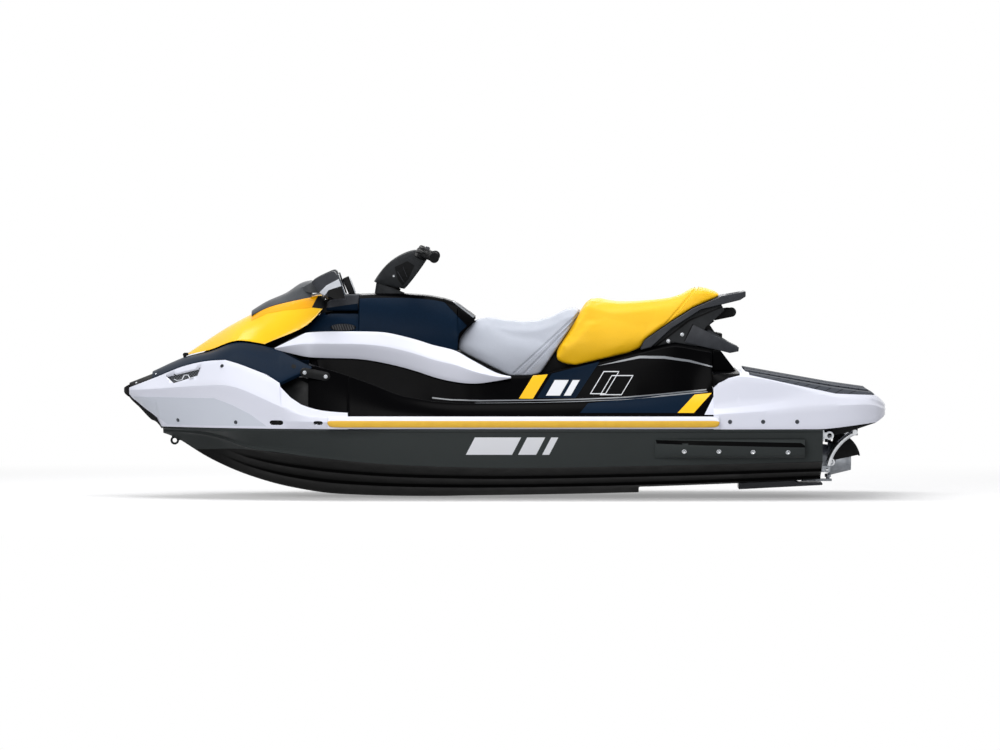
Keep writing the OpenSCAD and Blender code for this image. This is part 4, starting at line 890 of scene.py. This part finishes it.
def capsule(bm, a, b, radius, thick, facing):  # plate with round ends from one point to another
    along = (b - a).normalized()
    across = facing.cross(along).normalized()
    turn = Matrix((along, across, facing)).transposed().to_4x4()
    ring = bmesh.ops.create_circle(bm, cap_ends=True, segments=32, radius=radius)["verts"]
    far = [v for v in ring if v.co.x > 1e-6]
    bmesh.ops.translate(bm, vec=((b - a).length, 0, 0), verts=far)
    face = ring[0].link_faces[0]
    grown = bmesh.ops.extrude_face_region(bm, geom=[face])["geom"]
    lifted = vertsOf(grown)
    bmesh.ops.translate(bm, vec=(0, 0, thick), verts=lifted)
    rim = [e for e in {e for v in lifted for e in v.link_edges} if all(w in lifted for w in e.verts)]
    roundEdges(bm, rim, min(thick, radius) * 0.3)
    island = set(ring)
    grow = list(ring)
    while grow:
        for edge in grow.pop().link_edges:
            for vertex in edge.verts:
                if vertex not in island:
                    island.add(vertex)
                    grow.append(vertex)
    bmesh.ops.transform(bm, matrix=Matrix.Translation(a) @ turn, verts=list(island))
    bmesh.ops.recalc_face_normals(bm, faces=list({f for v in island for f in v.link_faces}))


bm = bmesh.new()
heads = bmesh.new()
for side in (1, -1):
    marks = [touchSide(*p, side) for p in bracketSet["ends"]]
    print("bracket on", [m[2].name for m in marks])
    facing = Vector((0, side, 0))
    out = max(m[0].y * side for m in marks)
    a, b = [Vector((m[0].x, side * (out - bracketSet["sink"]), m[0].z)) for m in marks]
    capsule(bm, a, b, bracketSet["radius"], bracketSet["thick"], facing)
    for point in (a, b):
        setBolt(heads, point + facing * bracketSet["thick"], facing, bracketSet["bolt"])
keepPiece(bm, "shoulderBrackets", blackPlastic, "hull", sharp=35)
keepPiece(heads, "shoulderBracketBolts", stainless, "hull", sharp=35)

# Black strip over the console's rear with a pale line along it, a painted highlight, and a small plug
# in the rear seat
film("consoleStrip", "console", [[(441, 296), (477, 318), (467, 327), (444, 303)]], deckGelcoat,
     lift=0.0015, thick=0.0015)
film("consoleGlints", "console", [[(452, 301.8), (473.6, 318.2), (472.8, 319.4), (451.6, 303)]],
     paleHighlightPaint, lift=0.003, thick=0.001)
plugSet = {"at": (708, 290), "half": 0.018, "radius": 0.008, "thick": 0.005, "sink": 0.006}
bm = bmesh.new()
plugAt, plugFacing, _ = touch((spot(*plugSet["at"]).x, 0, 2.0), (0, 0, -1))
plugAlong = Vector((plugFacing.z, 0, -plugFacing.x)).normalized() * plugSet["half"]
plugAt -= plugFacing * plugSet["sink"]
capsule(bm, plugAt - plugAlong, plugAt + plugAlong, plugSet["radius"], plugSet["thick"], plugFacing)
keepPiece(bm, "rearSeatPlug", blackRubber, "hull", sharp=35)

# Oval louvres between console and side panel
louvreSet = {"at": (342.5, 328.5), "half": (0.056, 0.017), "deep": 0.010, "lean": 0.15, "sink": 0.004,
             "ribs": 9, "ribWide": 0.0035, "ribDeep": 0.005, "ribAt": 0.011, "ribTurn": 20}
bm = bmesh.new()
ribs = bmesh.new()
for side in (1, -1):
    place, facing, carrier = touchSide(*louvreSet["at"], side)
    print("louvre on", carrier.name)
    facing = Vector((0, side, louvreSet["lean"])).normalized()
    along = Vector((1, 0, 0))
    turn = Matrix((along, facing.cross(along), facing)).transposed().to_4x4()
    seat = Matrix.Translation(place - facing * louvreSet["sink"]) @ turn
    wide, tall = louvreSet["half"]
    bmesh.ops.create_cone(bm, cap_ends=True, segments=40, radius1=1.0, radius2=0.86,
                          depth=louvreSet["deep"],
                          matrix=seat @ Matrix.Translation((0, 0, louvreSet["deep"] / 2))
                          @ Matrix.Diagonal((wide, tall, 1, 1)))
    for rib in range(louvreSet["ribs"]):
        x = (rib / (louvreSet["ribs"] - 1) - 0.5) * 1.5 * wide
        half = tall * 0.8 * math.sqrt(1 - (x / wide) ** 2)
        addBox(ribs, seat @ Matrix.Translation((x, 0, louvreSet["ribAt"]))
               @ Matrix.Rotation(math.radians(louvreSet["ribTurn"]), 4, "Z"),
               (louvreSet["ribWide"], 2 * half, louvreSet["ribDeep"]))
keepPiece(bm, "consoleLouvres", blackPlastic, "hull", sharp=35)
keepPiece(ribs, "louvreRibs", greyPlastic, "hull", smooth=False)
print("console trim set")


# Pockets in the bow fairings: an air vent with a mesh floor, and two drain slots
ventSet = {"vent": [(164.6, 377), (200, 368), (197, 376), (172.7, 384)], "depth": 0.010,
           "slots": [((272.5, 421.9), (281.5, 421.9), 2.3), ((316, 421.9), (321.5, 421.9), 1.9)],
           "slotDepth": 0.006, "wire": (0.0022, 0.004),
           "crimp": [(173.2, 380.2), (176.6, 381.6), (181.2, 380.3), (183.5, 375.9), (187.3, 375.6),
                     (189.6, 379.2), (193, 378)]}


def sinkPocket(node, outline, side, depth, material, faced=0.1):  # with no depth it only paints
    piece = skins[node]
    if piece.modifiers:
        smooth = evaluated(piece)
        piece.modifiers.clear()
        piece.data = smooth
    if material.name not in piece.data.materials:
        piece.data.materials.append(material)
    bm = bmesh.new()
    bm.from_mesh(piece.data)
    corners, middle, planes = outlinePlanes(outline)
    reach = max((c - middle).length for c in corners) + patchSet["margin"] + patchSet["belt"]

    def near(face):
        centre = face.calc_center_median()
        flat = Vector((centre.x, 0, centre.z))
        return (face.normal.y * side > faced and centre.y * side > patchSet["middle"]
                and (flat - middle).length < reach)

    for a, across in planes:
        faces = [f for f in bm.faces if near(f)]
        edges = list({e for f in faces for e in f.edges})
        verts = list({v for f in faces for v in f.verts})
        bmesh.ops.bisect_plane(bm, geom=verts + edges + faces, plane_co=a, plane_no=across)
    inside = [f for f in bm.faces if near(f)
              and all((f.calc_center_median() - a).dot(across) < 1e-6 for a, across in planes)]
    facing = sum((f.normal * f.calc_area() for f in inside), Vector()).normalized()
    slot = list(piece.data.materials).index(material)
    for face in inside:
        face.material_index = slot
    if depth:
        grown = bmesh.ops.extrude_face_region(bm, geom=inside)["geom"]
        bmesh.ops.translate(bm, vec=-facing * depth, verts=vertsOf(grown))
        for face in facesOf(grown):
            face.material_index = slot
        left = [f for f in inside if f.is_valid]
        bmesh.ops.delete(bm, geom=left, context="FACES_ONLY")
    bm.to_mesh(piece.data)
    bm.free()
    piece.data.set_sharp_from_angle(angle=math.radians(40))


bm = bmesh.new()
for node, side in (("bow_fairing_left", 1), ("bow_fairing_right", -1)):
    for a, b, radius in ventSet["slots"]:
        sinkPocket(node, slotOutline(a, b, radius), side, ventSet["slotDepth"], blackRubber)
    sinkPocket(node, ventSet["vent"], side, ventSet["depth"], ventMesh)
    points = [touchSide(*p, side)[0] for p in ventSet["crimp"]]
    for a, b in zip(points, points[1:]):
        capsule(bm, a, b, *ventSet["wire"], Vector((0, side, 0)))
keepPiece(bm, "ventCrimps", silverPlastic, "hull", sharp=40)
hoodTail = [[(317.4, 296.6), (310.9, 308.3), (322.4, 309.4), (330, 309.4), (330, 296.6)],
            [(304, 299), (330, 293), (330, 284), (304, 284)]]
for side in (1, -1):  # the hood's tail is black above its lower tip
    for outline in hoodTail:
        sinkPocket("hood", outline, side, 0, blackPlastic, faced=-2)
print("fairing pockets sunk")


# Handlebar: ribbed grips, control housings and levers
steerSet = {"post": (0.475, 0.841), "lean": -31, "bend": (-0.020, 0.143, 0.210), "sweep": 16,
            "droop": -86}
steerFrame = (Matrix.Translation((steerSet["post"][0], 0, steerSet["post"][1] + keelZ))
              @ Matrix.Rotation(math.radians(steerSet["lean"]), 4, "Y"))
gripFrame = (steerFrame @ Matrix.Translation(steerSet["bend"])
             @ Matrix.Rotation(math.radians(steerSet["sweep"]), 4, "Z")
             @ Matrix.Rotation(math.radians(steerSet["droop"]), 4, "X"))
gripSet = {"start": 0.090, "length": 0.150, "radius": 0.017, "ribs": 18, "depth": 0.0012,
           "flange": 0.004, "flangeShare": 0.04, "waist": 0.0008}
bm = bmesh.new()
steps = gripSet["ribs"] * 4
line = [bm.verts.new((0.0, 0, gripSet["start"]))]
for i in range(steps + 1):
    u = i / steps
    ended = u < gripSet["flangeShare"] or u > 1 - gripSet["flangeShare"]
    radius = gripSet["radius"] + (gripSet["flange"] if ended else 0.0)
    radius -= gripSet["depth"] * (i % 4 in (1, 2)) + gripSet["waist"] * math.sin(math.pi * u)
    line.append(bm.verts.new((radius, 0, gripSet["start"] + gripSet["length"] * u)))
line.append(bm.verts.new((0.0, 0, gripSet["start"] + gripSet["length"])))
rods = [bm.edges.new(pair) for pair in zip(line, line[1:])]
bmesh.ops.spin(bm, geom=line + rods, cent=(0, 0, 0), axis=(0, 0, 1), dvec=(0, 0, 0),
               angle=2 * math.pi, steps=36, use_merge=True)
bmesh.ops.remove_doubles(bm, verts=bm.verts[:], dist=1e-5)
bmesh.ops.recalc_face_normals(bm, faces=bm.faces[:])
bmesh.ops.transform(bm, matrix=gripFrame, verts=bm.verts[:])
mirrorAcross(bm)
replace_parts(keepPiece(bm, "gripRubbers", blackRubber, "bars", sharp=50), "grips")

# Rubber boot between console and handlebar pad, cut with loops across its lower part
bootSet = {"front": (0.068, 0.044), "rear": (-0.058, -0.066), "half": 0.044, "foot": -0.045,
           "rise": (0.015, 0.035), "twist": (-0.034, 0.0), "loops": 6, "corner": 0.016, "lip": 0.003}
bm = bmesh.new()
corners = bmesh.ops.create_cube(bm, size=1.0)["verts"]
for vertex in corners:
    ahead, high = vertex.co.x > 0, vertex.co.z > 0
    vertex.co = Vector((bootSet["front" if ahead else "rear"][0 if high else 1],
                        math.copysign(bootSet["half"], vertex.co.y),
                        bootSet["rise"][0 if ahead else 1] if high else bootSet["foot"]))
upright = [e for e in bm.edges if abs(e.verts[0].co.z - e.verts[1].co.z) > 0.04]
roundEdges(bm, upright, bootSet["corner"], 5)
roundEdges(bm, [e for e in bm.edges if all(v.co.z > -0.01 for v in e.verts)], bootSet["lip"])
low, high = bootSet["twist"]
for step in range(bootSet["loops"]):
    bmesh.ops.bisect_plane(bm, geom=allOf(bm), plane_no=(0, 0, 1),
                           plane_co=(0, 0, low + (high - low) * step / (bootSet["loops"] - 1)))
bmesh.ops.transform(bm, matrix=steerFrame, verts=bm.verts[:])
boot = keepPiece(bm, "steeringBoot", darkRubber, None, sharp=40)
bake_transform(boot)

controlSet = {"housing": (0.046, 0.050, 0.052), "housingAt": 0.058, "corner": 0.009,
              "lever": (0.010, 0.016, 0.125), "leverAt": 0.105, "leverEdge": 0.0035, "reach": 0.046,
              "taper": 0.35, "buttons": ((0.048, 0.0075), (0.068, 0.006)), "buttonAt": (-0.008, -0.027)}
bm = bmesh.new()
addBox(bm, gripFrame @ Matrix.Translation((0, 0, controlSet["housingAt"])), controlSet["housing"])
roundEdges(bm, bm.edges[:], controlSet["corner"], 3)
mirrorAcross(bm)
keepPiece(bm, "controlHousings", blackPlastic, "bars", sharp=40)
bm = bmesh.new()
addBox(bm, Matrix.Translation((0, 0, controlSet["leverAt"])), controlSet["lever"])
longEdges = [e for e in bm.edges if abs((e.verts[0].co - e.verts[1].co).z) > 0.05]
bmesh.ops.subdivide_edges(bm, edges=longEdges, cuts=8)
roundEdges(bm, [e for e in bm.edges if e.calc_face_angle(0) > 1.0], controlSet["leverEdge"])
for vertex in bm.verts:  # finger hook of the lever
    u = (vertex.co.z - controlSet["leverAt"]) / controlSet["lever"][2] + 0.5
    vertex.co.x += controlSet["reach"] * (0.45 + 0.9 * u - 0.75 * u * u)
    vertex.co.y *= 1.0 - controlSet["taper"] * u
bmesh.ops.transform(bm, matrix=gripFrame, verts=bm.verts[:])
mirrorAcross(bm)
keepPiece(bm, "controlLevers", blackPlastic, "bars", sharp=40)
bm = bmesh.new()
for z, radius in controlSet["buttons"]:
    bmesh.ops.create_cone(bm, cap_ends=True, segments=24, radius1=radius, radius2=radius * 0.85,
                          depth=0.008,
                          matrix=gripFrame @ Matrix.Translation((*controlSet["buttonAt"], z))
                          @ Matrix.Rotation(math.radians(90), 4, "X"))
mirrorAcross(bm)
keepPiece(bm, "controlButtons", greyPlastic, "bars", sharp=40)
print("handlebar dressed")

# Display: a bezel, a glass face, and plain bars on it
displaySet = {"low": (0.612, 0.838), "high": (0.640, 0.912),
              "glass": (0.122, 0.060, 0.003), "glassAt": 0.0012, "glassEdge": 0.0012,
              "bezel": (0.134, 0.072, 0.004), "bezelAt": 0.0002, "bezelEdge": 0.0016,
              "gauge": (0.008, 0.012, 0.016, 0.020, 0.024, 0.028), "gaugeAt": (-0.045, -0.014),
              "gaugePitch": 0.009, "gaugeWide": 0.006,
              "rows": (0.034, 0.026, 0.018), "rowsAt": (0.034, 0.014), "rowPitch": 0.014,
              "rowTall": 0.005, "ink": 0.0006, "inkAt": 0.0029}
low, high = [Vector((x, 0, z + keelZ)) for x, z in (displaySet["low"], displaySet["high"])]
up = (high - low).normalized()
outward = Vector((-up.z, 0, up.x))
faceTurn = Matrix((Vector((0, -1, 0)), up, outward)).transposed().to_4x4()
faceFrame = Matrix.Translation((low + high) / 2) @ faceTurn
for name, part, material in (("displayGlass", "glass", glossBlack),
                             ("displayBezel", "bezel", silverPlastic)):
    bm = bmesh.new()
    addBox(bm, faceFrame @ Matrix.Translation((0, 0, displaySet[part + "At"])), displaySet[part])
    roundEdges(bm, bm.edges[:], displaySet[part + "Edge"])
    keepPiece(bm, name, material, "hull", sharp=40)
bm = bmesh.new()
x, y = displaySet["gaugeAt"]
for i, tall in enumerate(displaySet["gauge"]):
    spotOnFace = (x + displaySet["gaugePitch"] * i, y + tall / 2, displaySet["inkAt"])
    addBox(bm, faceFrame @ Matrix.Translation(spotOnFace),
           (displaySet["gaugeWide"], tall, displaySet["ink"]))
x, y = displaySet["rowsAt"]
for i, wide in enumerate(displaySet["rows"]):
    spotOnFace = (x, y - displaySet["rowPitch"] * i, displaySet["inkAt"])
    addBox(bm, faceFrame @ Matrix.Translation(spotOnFace),
           (wide, displaySet["rowTall"], displaySet["ink"]))
keepPiece(bm, "displayBars", silverPlastic, "hull", smooth=False)

# Dark lip under the stern platform, outboard of the step
acrossBody("platformLips", [(824, 427.2), (876, 422.6), (845, 433), (826, 436)], (0.24, 0.36),
           blackPlastic)
print("stern lips set")


# Stage: pale floor at the keel, white behind it
stageSet = {"half": 30.0, "gap": 0.001, "near": 2.2, "far": 4.5, "fill": 0.3, "oval": (0.7, 1.0, 0.0),
            "lit": "#b4b4b6", "shown": "#f6f6f7", "sky": 0.4}


def seenRays(tree):  # 1 for what the camera sees, directly, in gloss or through glass
    rays = addNode(tree, "LightPath", {})
    direct = addNode(tree, "Math", {"operation": "ADD", "use_clamp": True,
                                    0: rays.outputs["Is Camera Ray"], 1: rays.outputs["Is Glossy Ray"]})
    return addNode(tree, "Math", {"operation": "ADD", "use_clamp": True, 0: direct.outputs["Value"],
                                  1: rays.outputs["Is Transmission Ray"]})


bm = bmesh.new()
bmesh.ops.create_grid(bm, x_segments=1, y_segments=1, size=stageSet["half"],
                      matrix=Matrix.Translation((0, 0, keelZ - stageSet["gap"])))
floorMesh = bpy.data.meshes.new("studioFloor")
bm.to_mesh(floorMesh)
bm.free()
floor = bpy.data.objects.new("studioFloor", floorMesh)
scene.collection.objects.link(floor)
paper = bpy.data.materials.new("paperSweep")
paper.use_nodes = True
tree = paper.node_tree
tree.nodes.clear()
seen = seenRays(tree)
where = addNode(tree, "TexCoord", {})
flat = addNode(tree, "VectorMath", {"operation": "MULTIPLY", 0: where.outputs["Object"],
                                    1: stageSet["oval"]})
reach = addNode(tree, "VectorMath", {"operation": "LENGTH", 0: flat.outputs["Vector"]})
# the floor glows white for camera and gloss rays, at 0.3 of full under the object rising to full
# further out: painted light that lifts the object's shadow
fade = addNode(tree, "MapRange", {"interpolation_type": "SMOOTHSTEP",
                                  "Value": reach.outputs["Value"],
                                  "From Min": stageSet["near"], "From Max": stageSet["far"],
                                  "To Min": stageSet["fill"], "To Max": 1.0})
share = addNode(tree, "Math", {"operation": "MULTIPLY", 0: fade.outputs["Result"],
                               1: seen.outputs["Value"]})
bounce = addNode(tree, "Mix", {"data_type": "RGBA", 0: seen.outputs["Value"],
                               6: colour(stageSet["lit"]), 7: colour(stageSet["shown"])})
matt = addNode(tree, "BsdfDiffuse", {"Color": bounce.outputs[2]})
glow = addNode(tree, "Emission", {"Color": colour("#ffffff"), "Strength": 1.0})
both = addNode(tree, "MixShader", {0: share.outputs["Value"], 1: matt.outputs["BSDF"],
                                   2: glow.outputs["Emission"]})
addNode(tree, "OutputMaterial", {"Surface": both.outputs["Shader"]})
floorMesh.materials.append(paper)

world = bpy.data.worlds.new("studioWorld")
scene.world = world
world.use_nodes = True
tree = world.node_tree
tree.nodes.clear()
seen = seenRays(tree)
strength = addNode(tree, "MapRange", {"Value": seen.outputs["Value"], "To Min": stageSet["sky"],
                                      "To Max": 1.0})
sky = addNode(tree, "Background", {"Color": colour("#ffffff"),
                                   "Strength": strength.outputs["Result"]})
addNode(tree, "OutputWorld", {"Surface": sky.outputs["Background"]})

lampSet = {
    "overheadSoftbox": {"at": (0.2, 0.3, 4.2), "to": (0, 0, 0.2), "size": (6.0, 2.4), "power": 175},
    "portSoftbox": {"at": (1.2, 5.5, 2.6), "to": (0, 0, 0.2), "size": (4.0, 2.0), "power": 165},
    "starboardSoftbox": {"at": (-1.0, -5.0, 2.6), "to": (0, 0, 0.3), "size": (4.0, 2.0),
                         "power": 70},
}
for name, lamp in lampSet.items():
    light = bpy.data.lights.new(name, "AREA")
    light.shape = "RECTANGLE"
    light.size, light.size_y = lamp["size"]
    light.energy = lamp["power"]
    holder = bpy.data.objects.new(name, light)
    scene.collection.objects.link(holder)
    holder.location = lamp["at"]
    holder.rotation_euler = (Vector(lamp["to"]) - Vector(lamp["at"])).to_track_quat(
        "-Z", "Y").to_euler()
print("stage lit")
